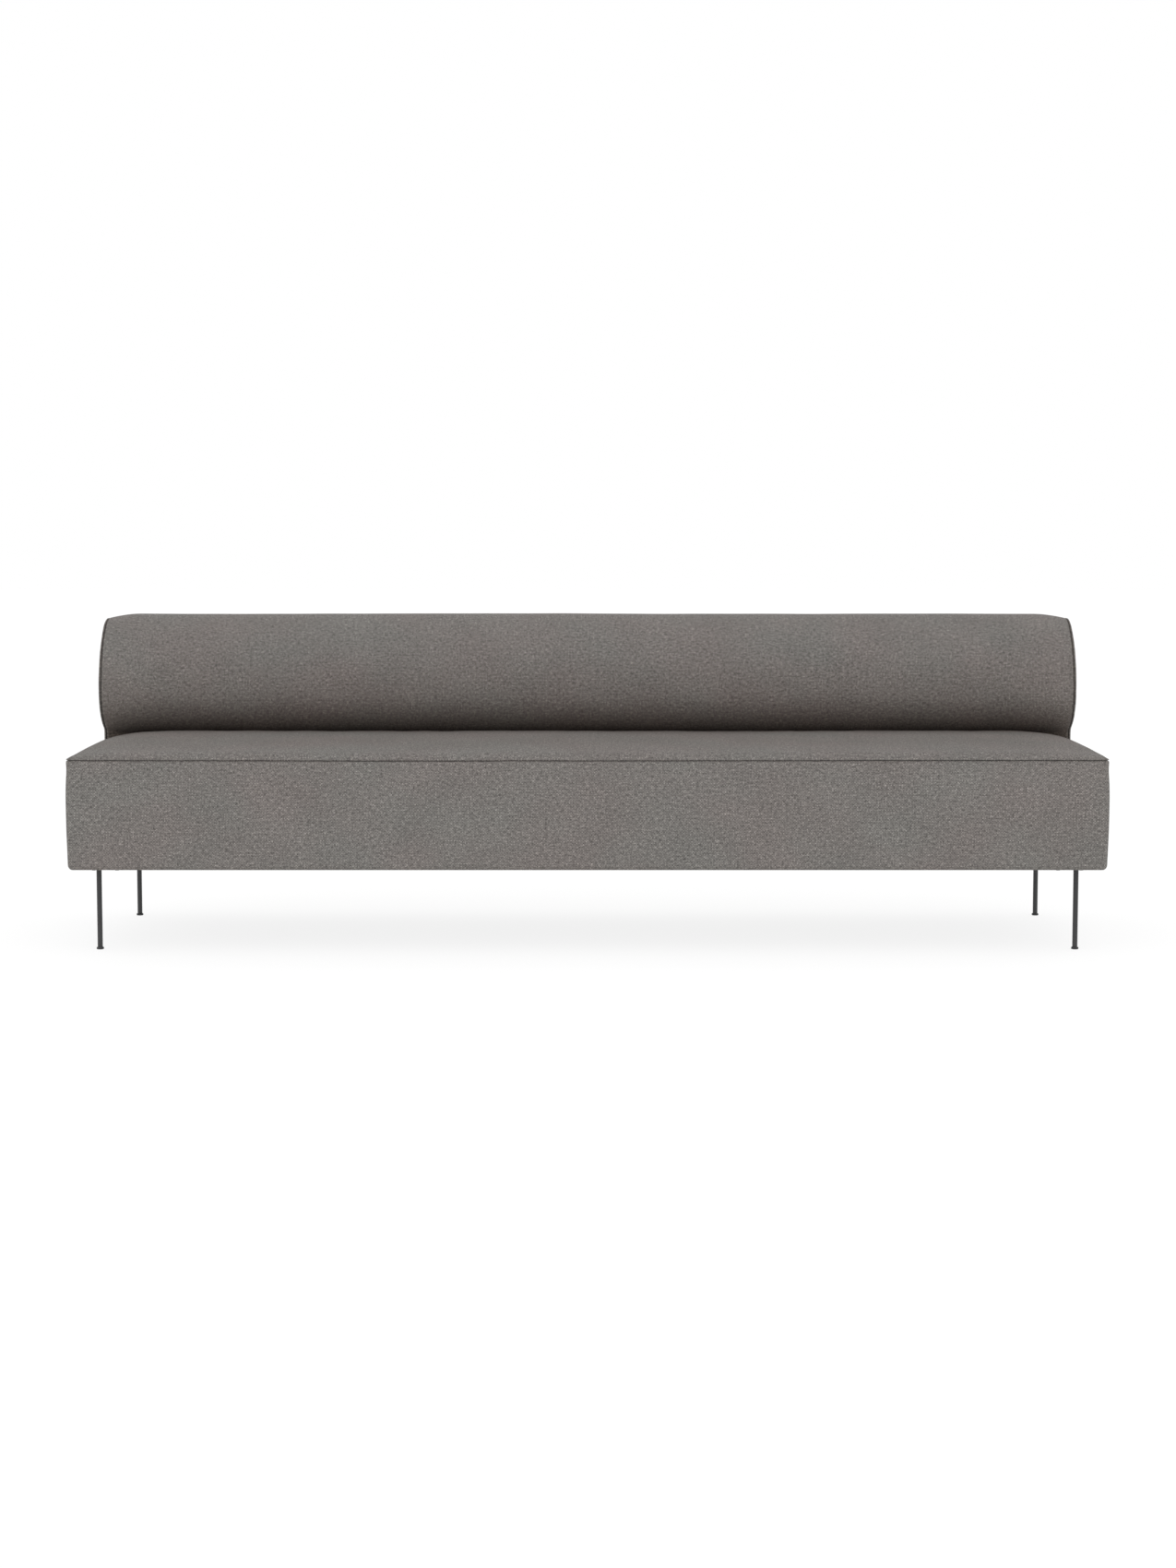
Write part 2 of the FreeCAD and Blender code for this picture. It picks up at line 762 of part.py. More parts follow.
class Outline:
    """Section of the rolled back, walked round from the neck with tangent lines and arcs.

    An inset moves the outline inwards, as for what lies under the cloth. A draw makes the roll
    itself smaller, and leaves its foot on the seam where it was.
    """

    def __init__(self, across, base, inset=0, draw=0):
        self.across = across
        self.inset = inset
        self.edges = []
        self.along = size(neck_plane)
        self.level = base
        self.heading = math.radians(90)
        overhang = size("dims.overhang_angle")
        face = size("dims.face_angle")
        seam = size(seam_level)
        self.line_to(seam + size("dims.neck_rise") + draw * math.sin(math.radians(overhang)))
        self.arc(size("dims.neck_fillet"), overhang)
        self.arc(size("dims.overhang_radius") - draw, -overhang)
        self.nose = (self.along, self.level)
        self.arc(size("dims.face_radius") - draw, -face)
        self.arc(size("dims.top_radius") - draw, face - 90)
        self.ridge = (self.along, self.level)
        radius = rear_radius() - draw
        self.line(size(rear_plane) - rear_radius() - self.along)
        self.shoulder = self.level - radius
        foot_along = size(rear_plane) - size("dims.seam_draw")
        reach = foot_along - self.along
        rise = self.shoulder - seam
        lean = math.asin(radius / math.hypot(reach, rise)) - math.atan(reach / rise)
        self.arc(radius, -90 - math.degrees(lean))
        self.line_to(max(seam, base))
        self.close(base)

    def point(self, along=None, level=None, heading=None):
        """A place on the walk, or the present one, moved to the right of the way by the inset."""
        along = self.along if along is None else along
        level = self.level if level is None else level
        heading = self.heading if heading is None else heading
        return Vector(self.across, along + self.inset * math.sin(heading),
                      level - self.inset * math.cos(heading))

    def line(self, length):
        start = self.point()
        self.along += length * math.cos(self.heading)
        self.level += length * math.sin(self.heading)
        self.edges.append(Part.LineSegment(start, self.point()))

    def line_to(self, level):
        """Straight on until the moved outline reaches a level."""
        climb = level + self.inset * math.cos(self.heading) - self.level
        self.line(climb / math.sin(self.heading))

    def arc(self, radius, turn):
        """Turn by an angle in degrees, to the left where it is positive."""
        side = math.copysign(1, turn)
        centre_along = self.along - side * radius * math.sin(self.heading)
        centre_level = self.level + side * radius * math.cos(self.heading)
        start = self.point()
        first_heading = self.heading
        passed = []
        for share in (0.5, 1):
            self.heading = first_heading + math.radians(turn) * share
            self.along = centre_along + side * radius * math.sin(self.heading)
            self.level = centre_level - side * radius * math.cos(self.heading)
            passed.append(self.point())
        self.edges.append(Part.Arc(start, *passed))

    def close(self, base):
        """Straight down to the base and back along it to the neck."""
        last = self.point()
        first = self.edges[0].StartPoint
        corner = Vector(self.across, last.y, base)
        if last.z - base > 0.001:
            self.edges.append(Part.LineSegment(last, corner))
        self.edges.append(Part.LineSegment(corner, first))

    def wire(self):
        return Part.Wire([edge.toShape() for edge in self.edges])


def rear_radius():
    """Radius of the roll's rear shoulder: what the neck, the face, the top and its flat leave over."""
    overhang = math.radians(size("dims.overhang_angle"))
    face = math.radians(size("dims.face_angle"))
    lean_out = (size("dims.neck_fillet") + size("dims.overhang_radius")) * (1 - math.cos(overhang))
    lean_in = size("dims.face_radius") * (1 - math.cos(face)) + size("dims.top_radius") * math.cos(face)
    return size("dims.neck_depth") + lean_out - lean_in - size("dims.top_flat")


end_seam_x = f"({half_width} - dims.end_bulge)"

# Places of the sections at the ends of the roll, as shares of the stretch that is drawn in
end_stations = (0, 0.35, 1)

# Turns in degrees of the sections round the bulge of an end panel
bulge_turns = (0, 42, 90)


def end_draw(run):
    """How far the roll is drawn in at a distance from its end seam."""
    share = max(1 - run / size("dims.end_draw_length"), 0)
    return size("dims.end_draw") * share ** 1.7


def back_form(inset, base):
    """Rolled back with a straight middle, drawn in at both ends."""

    def section(across, run):
        return Outline(across, base, inset, end_draw(run)).wire()

    runs = [size("dims.end_draw_length") * share for share in end_stations]
    return along_sofa(section, size(end_seam_x), runs)


def straight_form(inset, base, reach):
    """Straight bar of the back's section."""
    face = Part.Face(Outline(-reach, base, inset).wire())
    return face.extrude(Vector(2 * reach, 0, 0))


def end_cap(side):
    """Bulging end of the back, from the end seam outwards, drawn in at its foot as well."""
    bulge = size("dims.end_bulge")
    run = size("dims.end_bulge_run")
    seam = size(seam_level)
    seam_x = size(end_seam_x)
    wires = []
    ramp = [Vector(side * seam_x, -beyond, seam - run)]
    for turn in bulge_turns:
        angle = math.radians(turn)
        across = side * (seam_x + bulge * math.sin(angle))
        drawn = run * (1 - math.cos(angle))
        wires.append(Outline(across, seam, drawn, size("dims.end_draw")).wire())
        ramp.append(Vector(across, -beyond, seam + drawn))
    far_x = side * (size(half_width) + run)
    ramp += [Vector(far_x, -beyond, seam + run), Vector(far_x, -beyond, seam - run)]
    below = Part.Face(Part.makePolygon(ramp + [ramp[0]])).extrude(Vector(0, 2 * beyond, 0))
    return Part.makeLoft(wires, True, True).cut(below)


def slab(reach, along_low, along_high, low, high):
    """Board across the sofa between two planes and two levels."""
    return Part.makeBox(2 * reach, along_high - along_low, high - low, Vector(-reach, along_low, low))


roll = Outline(0, size(seam_level))
roll_middle = roll.ridge[0] + size("dims.top_flat") / 2
above = roll.ridge[1] + 100


def make_back_covers():
    """Cloth sleeve of the roll, and the foam-backed panels that close its ends."""
    cloth = size("dims.cover_thickness")
    seam = size(seam_level)
    form("back_cover", hollowed(back_form(0, seam), back_form(cloth, seam - 2 * cloth)))
    form("back_end_panel_left", end_cap(-1))
    form("back_end_panel_right", end_cap(1))


def make_back_foam():
    """Foam wrapped round the front skin, over the roll and down the rear."""
    inset = size("dims.cover_thickness + dims.soft_gap")
    gap = size("dims.soft_gap")
    base = size(foam_base)
    reach = size(former_end_x)
    body = joined(back_form(inset, base)).common(slab(reach, -beyond, beyond, base - 1, above))
    hollow = straight_form(size(skin_inset) - gap, base - 1, reach + 1)
    rail_zone = slab(reach + 1, roll_middle, size(rear_plane) - size("dims.rail_inset") + gap,
                     base - 1, size(rear_rail_top) + gap)
    form("back_foam", body.cut([hollow, rail_zone]))


def make_end_pad(side_name, side):
    """Foam pad between the last former and the end panel; it stands on the side rail."""
    gap = size("dims.soft_gap")
    inset = size("dims.cover_thickness") + gap
    near = size(former_end_x) + gap
    far = size(end_seam_x) - gap
    outline = Outline(side * near, size(seam_level) + gap, inset, size("dims.end_draw"))
    form(f"back_end_pad_{side_name}", Part.Face(outline.wire()).extrude(Vector(side * (far - near), 0, 0)))


# Battens along the back: outer face set a little inside the former's edge


def batten_places():
    """Front lower corner and section of each batten, from the outline of the roll."""
    inset = size(former_inset) + size("dims.batten_recess")
    width = size("dims.batten_width")
    thickness = size("dims.batten_thickness")
    foot = size(rear_plane) - size("dims.seam_draw")
    return {
        "top": (roll_middle - width / 2, roll.ridge[1] - inset - thickness, width, thickness),
        "front": (roll.nose[0] + inset, roll.nose[1] - width / 2, thickness, width),
        "rear": (size(rear_plane) - inset - thickness, roll.shoulder - width, thickness, width),
        "lower": (foot - inset - thickness, size(rear_rail_top) + size("dims.batten_lift"), thickness, width),
    }


def make_battens():
    reach = size(former_end_x)
    for name, (along, level, depth, height) in batten_places().items():
        form(f"back_batten_{name}", slab(reach, along, along + depth, level, level + height))


def make_skins():
    """Bent front skin from the seat to the ridge, and a rear skin from the ridge to the rear rail."""
    gap = size("dims.wood_gap")
    reach = size(former_end_x)
    base = size(foam_base)
    shell = straight_form(size(skin_inset), base, reach)
    shell = shell.cut(straight_form(size(former_inset) - gap, base - 1, reach + 1))
    front_zone = slab(reach + 1, -beyond, roll_middle - gap / 2, base - 1, above)
    rear_zone = slab(reach + 1, roll_middle + gap / 2, beyond, size(rear_rail_top) + gap, above)
    form("back_front_skin", shell.common(front_zone))
    form("back_rear_skin", shell.common(rear_zone))


def make_formers():
    """Plywood formers with the section of the roll and a tongue that drops into both housings."""
    gap = size("dims.wood_gap")
    thickness = size("dims.former_thickness")
    base = size(tongue_base)
    tools = []
    for name, (along, level, depth, height) in batten_places().items():
        low = level - gap
        high = level + height + gap
        if name == "top":
            tools.append(slab(2 * thickness, along - gap, along + depth + gap, low, above))
        elif name == "front":
            tools.append(slab(2 * thickness, -beyond, along + depth + gap, low, high))
        else:
            tools.append(slab(2 * thickness, along - gap, beyond, low, high))
    housing = size("dims.housing_depth") - gap
    rear_face = size(rear_rail_front) - gap
    front_face = size(rest_rail_rear) + gap
    root = size("dims.seam_draw") + 1
    tongues = [
        slab(thickness / 2, rear_face - root, rear_face + gap + housing, base, size(rear_rail_top)),
        slab(thickness / 2, front_face - gap - housing, front_face + 1, base, size(rail_top)),
    ]
    face = Part.Face(Outline(-thickness / 2, base, size(former_inset)).wire())
    former = face.extrude(Vector(thickness, 0, 0)).cut(tools).fuse(tongues).removeSplitter()
    for name, across in zip(former_names, former_places):
        piece = form(f"back_former_{name}", former)
        piece.setExpression(".Placement.Base.x", across)


make_back_covers()
make_back_foam()
make_end_pad("left", -1)
make_end_pad("right", 1)
make_battens()
make_skins()
make_formers()

doc.recompute()
failed = [item.Name for item in doc.Objects if "Invalid" in item.State or "Error" in item.State]
if failed:
    raise RuntimeError(f"objects failed: {failed}")
unsound = [name for name, piece in nodes.items() if piece.Shape.isNull() or not piece.Shape.isValid()]
if unsound:
    raise RuntimeError(f"pieces without a valid shape: {unsound}")

os.makedirs("parts", exist_ok=True)
for name, piece in nodes.items():
    piece.Shape.exportStep(f"parts/{name}.step")
print(len(nodes), "pieces,", sum(len(piece.Shape.Solids) for piece in nodes.values()), "solids")
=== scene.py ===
import json
import math

import bmesh
import bpy
import numpy as np
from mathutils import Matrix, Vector, noise


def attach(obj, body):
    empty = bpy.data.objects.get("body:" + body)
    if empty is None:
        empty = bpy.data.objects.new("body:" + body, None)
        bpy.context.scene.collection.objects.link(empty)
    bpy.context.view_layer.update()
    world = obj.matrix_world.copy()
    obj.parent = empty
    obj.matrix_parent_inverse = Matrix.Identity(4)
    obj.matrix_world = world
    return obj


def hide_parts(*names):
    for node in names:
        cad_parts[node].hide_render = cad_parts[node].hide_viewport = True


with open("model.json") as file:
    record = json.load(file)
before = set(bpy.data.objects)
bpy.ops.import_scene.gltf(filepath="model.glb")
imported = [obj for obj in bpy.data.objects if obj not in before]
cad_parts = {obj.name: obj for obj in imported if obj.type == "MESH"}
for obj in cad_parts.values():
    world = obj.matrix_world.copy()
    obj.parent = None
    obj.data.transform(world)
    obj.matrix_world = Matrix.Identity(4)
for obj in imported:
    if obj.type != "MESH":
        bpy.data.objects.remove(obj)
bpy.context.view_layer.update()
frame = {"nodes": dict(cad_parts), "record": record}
print("frame loaded,", len(frame["nodes"]), "nodes")

# camera at the photograph's angle
view = {"lens": 62.27, "place": (0, -6.55, 0.965), "tilt": 84.73, "shift": 0.0003}
camera = bpy.data.objects.new("camera", bpy.data.cameras.new("camera"))
camera.data.lens = view["lens"]
camera.data.sensor_width = 36
camera.data.shift_x = view["shift"]
camera.location = view["place"]
camera.rotation_euler = (math.radians(view["tilt"]), 0, 0)
bpy.context.scene.collection.objects.link(camera)
bpy.context.scene.camera = camera


# small helpers for meshes

def asObject(name, mesh):
    piece = bpy.data.objects.new(name, mesh)
    bpy.context.scene.collection.objects.link(piece)
    return piece


def closedUp(name, shape):
    # faces turned outwards, and the mesh as an object
    bmesh.ops.recalc_face_normals(shape, faces=shape.faces)
    mesh = bpy.data.meshes.new(name)
    shape.to_mesh(mesh)
    shape.free()
    return asObject(name, mesh)


def sewn(name, patches, weld=2e-5):
    # every patch is a grid of points and a grid of cloth places (metres along weft and warp)
    shape = bmesh.new()
    layer = shape.loops.layers.uv.new("cloth")
    for points, cloth in patches:
        rows, columns = len(points), len(points[0])
        corners = [[shape.verts.new(point) for point in row] for row in points]
        for r in range(rows - 1):
            for c in range(columns - 1):
                four = ((r, c), (r, c + 1), (r + 1, c + 1), (r + 1, c))
                face = shape.faces.new([corners[i][j] for i, j in four])
                face.smooth = True
                for loop, (i, j) in zip(face.loops, four):
                    loop[layer].uv = cloth[i][j]
    bmesh.ops.remove_doubles(shape, verts=shape.verts, dist=weld)
    bmesh.ops.dissolve_degenerate(shape, edges=shape.edges, dist=1e-6)
    for face in bmesh.ops.holes_fill(shape, edges=shape.edges, sides=0)["faces"]:
        face.smooth = False
    return closedUp(name, shape)


def rimOf(rows):
    # front edge, right end, rear edge and left end of a grid as one closed loop
    return rows[0] + [row[-1] for row in rows[1:]] + rows[-1][-2::-1] + [row[0] for row in rows[-2::-1]]


def around(sides, closing=0):
    # cosine and sine of each place round an axis
    return [(math.cos(math.tau * k / sides), math.sin(math.tau * k / sides)) for k in range(sides + closing)]


def spread(start, end, count, gather=0.0):
    # count + 1 values from start to end, gathered towards both ends
    shares = [k / count for k in range(count + 1)]
    return [start + (end - start) * (share - gather * math.sin(math.tau * share) / math.tau) for share in shares]


def runsAlong(places):
    # distance from the first place to each one
    runs = [0.0]
    for a, b in zip(places, places[1:]):
        runs.append(runs[-1] + math.dist(a[:2], b[:2]))
    return runs


def smooth(edge0, edge1, value):
    share = min(max((value - edge0) / (edge1 - edge0), 0), 1)
    return share * share * (3 - 2 * share)


def ripple(x, y, z, length, seed):
    return noise.noise(Vector((x / length + seed, y / length - seed, z / length + 2.3 * seed)))


# the upholstery's shared measures

sofa = {"halfWidth": 1.2, "front": -0.345, "rear": 0.345, "seam": 0.4454, "seamInset": 0.006,
        "corner": 0.016, "seamWave": 0.0011, "neckPlane": 0.1515,
        "rearSeam": 0.1, "rearCalm": 0.6, "plateX": 1.12, "plateY": 0.265}
fullness = {"ends": 0.0030, "atSeam": 0.00321, "from": 1.08, "to": 1.195, "lowest": 0.7, "low": 0.2, "high": 0.3,
            "seamReach": 0.016, "rollFrom": 0.06, "rollTo": 0.15}
# how a plain seam turns in: (inset, height) from the cloth's edge to the bottom of its valley
valley = [(0.0, 0.0029), (0.0007, 0.0016), (0.0023, 0.0006), (0.0050, 0.0)]


def seamLift(x, y):
    long = ripple(x, y, 0, 0.42, 4.1)
    short = ripple(x, y, 0, 0.075, 9.7)
    return sofa["seamWave"] * (long + 0.3 * short)


def seatLift(x, y):
    return seamLift(x, y) * (1 if y < sofa["rearSeam"] else sofa["rearCalm"])


def fuller(x, y, z):
    # the padding pushes the seat's ends out, most between the seams and not under the roll's end panels
    full = fullness
    ends = smooth(full["from"], full["to"], abs(x))
    ends *= full["lowest"] + (1 - full["lowest"]) * smooth(full["low"], full["high"], z)
    nearSeam = math.exp(-(min(z - sofa["seam"], 0) / full["seamReach"]) ** 2)
    atSeam = full["atSeam"] - (full["atSeam"] + full["ends"]) * smooth(full["rollFrom"], full["rollTo"], y)
    return (x + math.copysign(ends * (full["ends"] + atSeam * nearSeam), x), y, z)


def pucker(along, away, amount, reach, seed):
    # small dimples that start at a seam's stitches and fade out
    fade = math.exp(-away / reach)
    fine = ripple(along, away * 0.35, 0, 0.017, seed)
    broad = ripple(along, away * 0.2, 0, 0.06, seed + 5)
    return amount * fade * (0.55 * fine + 0.75 * broad)


# seat block: crowned top, drawn down to its front and end seams

# "skirt" is (inset, drop) below the seam, "profile" is (depth behind the front seam, share of the crown's height)
seat = {"crown": 0.0388, "endRun": 0.234, "crownPower": 0.7, "lip": 0.0029, "rear": 0.1512, "foot": 0.3027,
        "along": 230, "across": 64, "sway": 0.0012, "tuck": 0.0016, "frontPucker": 0.0006, "endPucker": 0.0008,
        "skirt": [(0.007, 0.0015), (0.0105, 0.006)],
        "profile": [(0, 0), (0.001, 0.073), (0.002, 0.126), (0.004, 0.203), (0.006, 0.26), (0.009, 0.323),
                    (0.012, 0.369), (0.018, 0.415), (0.026, 0.445), (0.04, 0.489), (0.07, 0.59),
                    (0.11, 0.707), (0.191, 0.88), (0.26, 0.955), (0.33, 0.981), (0.4, 0.945),
                    (0.44, 0.892), (0.4562, 0.865), (0.465, 0.846), (0.472, 0.801), (0.478, 0.721),
                    (0.4812, 0.66), (0.485, 0.564), (0.488, 0.458), (0.4902, 0.35)]}


def crownShare(depth):
    places, shares = zip(*seat["profile"])
    return float(np.interp(depth, places, shares))


def crownHeight(x, y, edge):
    run = min(max(edge - abs(x), 0) / seat["endRun"], 1)
    rise = (1 - (1 - run) ** 4) ** seat["crownPower"]
    depth = y - (sofa["front"] + sofa["seamInset"])
    share = crownShare(depth)
    fromEnd = edge - abs(x)
    calm = smooth(0, 0.05, min(depth, fromEnd))
    sway = seat["sway"] * calm * (ripple(x, y, 0, 0.33, 1.7) + 0.35 * ripple(x, y, 0, 0.11, 6.1))
    tuck = seat["tuck"] * smooth(0.36, 0.47, depth) * ripple(x, y * 0.4, 0, 0.055, 3.3) * calm
    frontPucker = pucker(x, max(depth, 0), seat["frontPucker"], 0.016, 12.0) * smooth(0, 0.004, depth)
    endPucker = pucker(y, max(fromEnd, 0), seat["endPucker"], 0.02, 31.0 + math.copysign(3, x))
    endPucker *= smooth(0, 0.004, fromEnd) * smooth(0, 0.02, depth)
    return seat["lip"] + seat["crown"] * rise * share + sway + tuck + frontPucker + endPucker


def seatBlock():
    half = sofa["halfWidth"] - sofa["seamInset"]
    front = sofa["front"] + sofa["seamInset"]
    corner = sofa["corner"] - sofa["seamInset"]
    depths = [front + corner * (1 - math.cos(math.radians(turn))) for turn in range(0, 91, 15)]
    depths += spread(front + corner, seat["rear"], seat["across"], 0.55)[1:]
    depths[-1] = seat["rear"]

    def reach(y):
        dip = max(corner - (y - front), 0)
        return half - corner + math.sqrt(max(corner * corner - dip * dip, 0))

    shares = spread(-1, 1, seat["along"], 0.6)
    top, cloth, run, before = [], [], 0.0, None
    for y in depths:
        edge = reach(y)
        here = (y, seat["crown"] * crownShare(y - front))
        run += math.dist(here, before) if before else 0.0
        before = here
        row = [(x, y, sofa["seam"] + crownHeight(x, y, edge) + seatLift(x, y)) for x in (v * edge for v in shares)]
        top.append(row)
        cloth.append([(x, run) for x, y, z in row])

    rim = rimOf(top)

    def drawn(point, inset, z):
        # a rim point drawn in towards the middle of its side or corner
        x, y = point[:2]
        coreX, coreY = max(min(x, half - corner), corner - half), max(y, front + corner)
        keep = max(corner - inset, 0) / corner
        innerX, innerY = coreX + (x - coreX) * keep, coreY + (y - coreY) * keep
        innerX = max(min(innerX, half - inset), inset - half)
        innerY = max(innerY, front + inset) if y < seat["rear"] - 1e-6 else y
        return (innerX, innerY, z)

    rings, ringCloth = [], []
    skirt = [(inset, sofa["seam"] + lift, True) for inset, lift in valley]
    skirt += [(inset, sofa["seam"] - drop, True) for inset, drop in seat["skirt"]]
    skirt.append((seat["skirt"][-1][0], seat["foot"], False))
    for inset, z, rides in skirt:
        ring = [drawn(point, inset, z + (seatLift(*point[:2]) if rides else 0)) for point in rim] if inset else rim
        rings.append(ring)
        ringCloth.append([(p[0], p[1] - inset - (sofa["seam"] - z)) for p in ring])
    top = [[fuller(*point) for point in row] for row in top]
    rings = [[fuller(*point) for point in ring] for ring in rings]
    return sewn("seatTop", [(top, cloth), (rings, ringCloth)])


seatTop = seatBlock()
print("seat block made,", len(seatTop.data.polygons), "faces")


# border: one long strip round front and ends, one behind, sewn at the rear corners

# "valley" comes out of the seam, "under" turns round the rails and back up to the seam: (inset, height)
border = {"widest": 0.350, "lowTurn": 0.204, "lowRoll": 0.010, "lowDrop": 0.0122, "lowInset": 0.002,
          "step": 0.011, "sway": 0.0010, "cornerSteps": 8, "pucker": 0.0005, "sewnDip": 0.0022, "sewnEdge": 0.0006,
          "valley": [(0.011, 0.4454), (0.0083, 0.4448), (0.0067, 0.4439), (0.006, 0.4426)],
          "heights": [0.4410, 0.4390, 0.436, 0.431, 0.424, 0.415, 0.404, 0.39, 0.375, 0.36, 0.35],
          "lowHeights": [0.335, 0.32, 0.304, 0.288, 0.272, 0.256, 0.24, 0.226, 0.214, 0.207, 0.204],
          "under": [(0.0150, 0.1921), (0.0180, 0.1930), (0.0200, 0.1939), (0.028, 0.194), (0.034, 0.194),
                    (0.034, 0.1957), (0.0115, 0.1957), (0.0115, 0.300), (0.0115, 0.436), (0.0122, 0.4415),
                    (0.011, 0.4454)]}


def borderProfile():
    # (inset, height, how much the cloth may ripple) from the seam's valley down and under
    widest, lowTurn = border["widest"], border["lowTurn"]
    rows = [(inset, z, 0) for inset, z in border["valley"]]
    rows += [(sofa["seamInset"] * ((z - widest) / (sofa["seam"] - widest)) ** 2, z, 1) for z in border["heights"]]
    rows += [(border["lowInset"] * ((widest - z) / (widest - lowTurn)) ** 2, z, 1) for z in border["lowHeights"]]
    for turn in range(15, 91, 15):
        angle = math.radians(turn)
        rows.append((border["lowInset"] + border["lowRoll"] * (1 - math.cos(angle)),
                     lowTurn - border["lowDrop"] * math.sin(angle), 1 - turn / 90))
    return rows + [(inset, z, 0) for inset, z in border["under"]]


def outlinePlaces():
    # (x, y, normal x, normal y) anticlockwise, one strip round ends and front, one behind, met at the rear seams
    corner = sofa["corner"]
    coreX, coreY = sofa["halfWidth"] - corner, sofa["rear"] - corner
    front = ((-coreX, coreY, 135, 180), (-coreX, -coreY, 180, 270), (coreX, -coreY, 270, 360), (coreX, coreY, 0, 45))
    behind = ((coreX, coreY, 45, 90), (-coreX, coreY, 90, 135))
    strips = []
    for arcs in (front, behind):
        places = []
        for centreX, centreY, start, end in arcs:
            steps = max(int((end - start) / 90 * border["cornerSteps"]), 2)
            turned = []
            for k in range(steps + 1):
                angle = math.radians(start + (end - start) * k / steps)
                nx, ny = math.cos(angle), math.sin(angle)
                turned.append((centreX + corner * nx, centreY + corner * ny, nx, ny))
            if places:
                # the straight run that leads to this corner
                steps = max(int(math.dist(places[-1][:2], turned[0][:2]) / border["step"]), 2)
                places += zip(*(spread(a, b, steps)[1:-1] for a, b in zip(places[-1], turned[0])))
            places += turned
        strips.append(places)
    return strips


def borderPoint(place, inset, z, play):
    x, y, nx, ny = place
    corner = sofa["corner"]
    coreX, coreY = x - nx * corner, y - ny * corner
    out = 0.0
    if play > 0:
        along = x - y if abs(nx) < abs(ny) else y + 3.1
        below = sofa["seam"] - z
        out += pucker(along, max(below, 0), border["pucker"], 0.02, 17.0) * smooth(0, 0.004, 0.444 - z)
        out += border["sway"] * play * smooth(0, 0.05, below) * (
            ripple(x, y, z * 1.6, 0.3, 2.9) + 0.3 * ripple(x, y, z, 0.09, 7.7))
        # the upright seams at the rear corners
        fromSeam = math.hypot(abs(x) - sofa["halfWidth"], y - sofa["rear"])
        out -= border["sewnDip"] * math.exp(-(fromSeam / 0.0035) ** 2) * play
        out += border["sewnEdge"] * math.exp(-((fromSeam - 0.010) / 0.006) ** 2) * play
    drawn = inset - out
    if drawn < corner:
        spot = (coreX + nx * (corner - drawn), coreY + ny * (corner - drawn))
    else:
        limitX, limitY = sofa["halfWidth"] - drawn, sofa["rear"] - drawn
        spot = (max(min(coreX, limitX), -limitX), max(min(coreY, limitY), -limitY))
    lift = seamLift(x, y) * smooth(0.39, sofa["seam"], z)
    return fuller(spot[0], spot[1], z + lift)


def borderRing():
    profile = borderProfile()
    patches = []
    for strip in outlinePlaces():
        points = [[borderPoint(place, *row) for place in strip] for row in profile]
        cloth = [[(run, -drop) for run in runsAlong(strip)] for drop in runsAlong(profile)]
        patches.append((points, cloth))
    return sewn("seatBorder", patches)


seatBorder = borderRing()
print("border made,", len(seatBorder.data.polygons), "faces")


# rolled back on its neck

back = {"end": 1.1915, "endDraw": 0.0108, "drawRun": 0.075, "drawPower": 1.7,
        "sway": 0.0013, "endPucker": 0.0009, "footPucker": 0.0008,
        "neck": 0.0170, "neckTurn": 0.015, "roll": 0.115, "brow": 0.203, "crest": 0.105, "rearRoll": 0.110,
        "rollTurn": 66, "browTurn": 55, "crestTurn": 35, "rearTurn": 91.64,
        "flatEnd": 0.235, "rearFoot": 0.339, "foot": 0.4415, "stretch": 96,
        "steps": (5, 7, 18, 20, 8, 2, 20, 20),
        "nearEnd": [0.0, 0.0012, 0.003, 0.006, 0.010, 0.015, 0.021, 0.028, 0.037, 0.048, 0.06, 0.074, 0.09]}


def rollOutline(draw):
    # front-to-back section from the neck's foot over the roll to the rear foot, drawn in by an amount
    turn = math.radians(back["rollTurn"])
    points = []
    y, z, heading = sofa["neckPlane"], sofa["seam"], math.pi / 2

    def line(length, steps):
        nonlocal y, z
        stepY, stepZ = length * math.cos(heading), length * math.sin(heading)
        points.extend((y + stepY * k / steps, z + stepZ * k / steps) for k in range(steps))
        y, z = y + stepY, z + stepZ

    def arc(radius, degrees, steps):
        nonlocal y, z, heading
        radius = math.copysign(radius, degrees)
        centreY, centreZ = y - radius * math.sin(heading), z + radius * math.cos(heading)
        angles = [heading + math.radians(degrees) * k / steps for k in range(steps + 1)]
        turned = [(centreY + radius * math.sin(angle), centreZ - radius * math.cos(angle)) for angle in angles]
        points.extend(turned[:-1])
        heading = angles[-1]
        y, z = turned[-1]

    neckSteps, turnSteps, rollSteps, browSteps, crestSteps, flatSteps, rearSteps, downSteps = back["steps"]
    line(back["neck"] + draw * math.sin(turn), neckSteps)
    arc(back["neckTurn"], back["rollTurn"], turnSteps)
    arc(back["roll"] - draw, -back["rollTurn"], rollSteps)
    arc(back["brow"] - draw, -back["browTurn"], browSteps)
    arc(back["crest"] - draw, -back["crestTurn"], crestSteps)
    line(back["flatEnd"] - y, flatSteps)
    arc(back["rearRoll"] - draw, -back["rearTurn"], rearSteps)
    points += zip(spread(y, back["rearFoot"], downSteps), spread(z, sofa["seam"], downSteps))
    return points


def rollNormals(points):
    normals = []
    for k in range(len(points)):
        a, b = points[max(k - 1, 0)], points[min(k + 1, len(points) - 1)]
        length = math.dist(a, b)
        normals.append(((a[1] - b[1]) / length, (b[0] - a[0]) / length))
    return normals


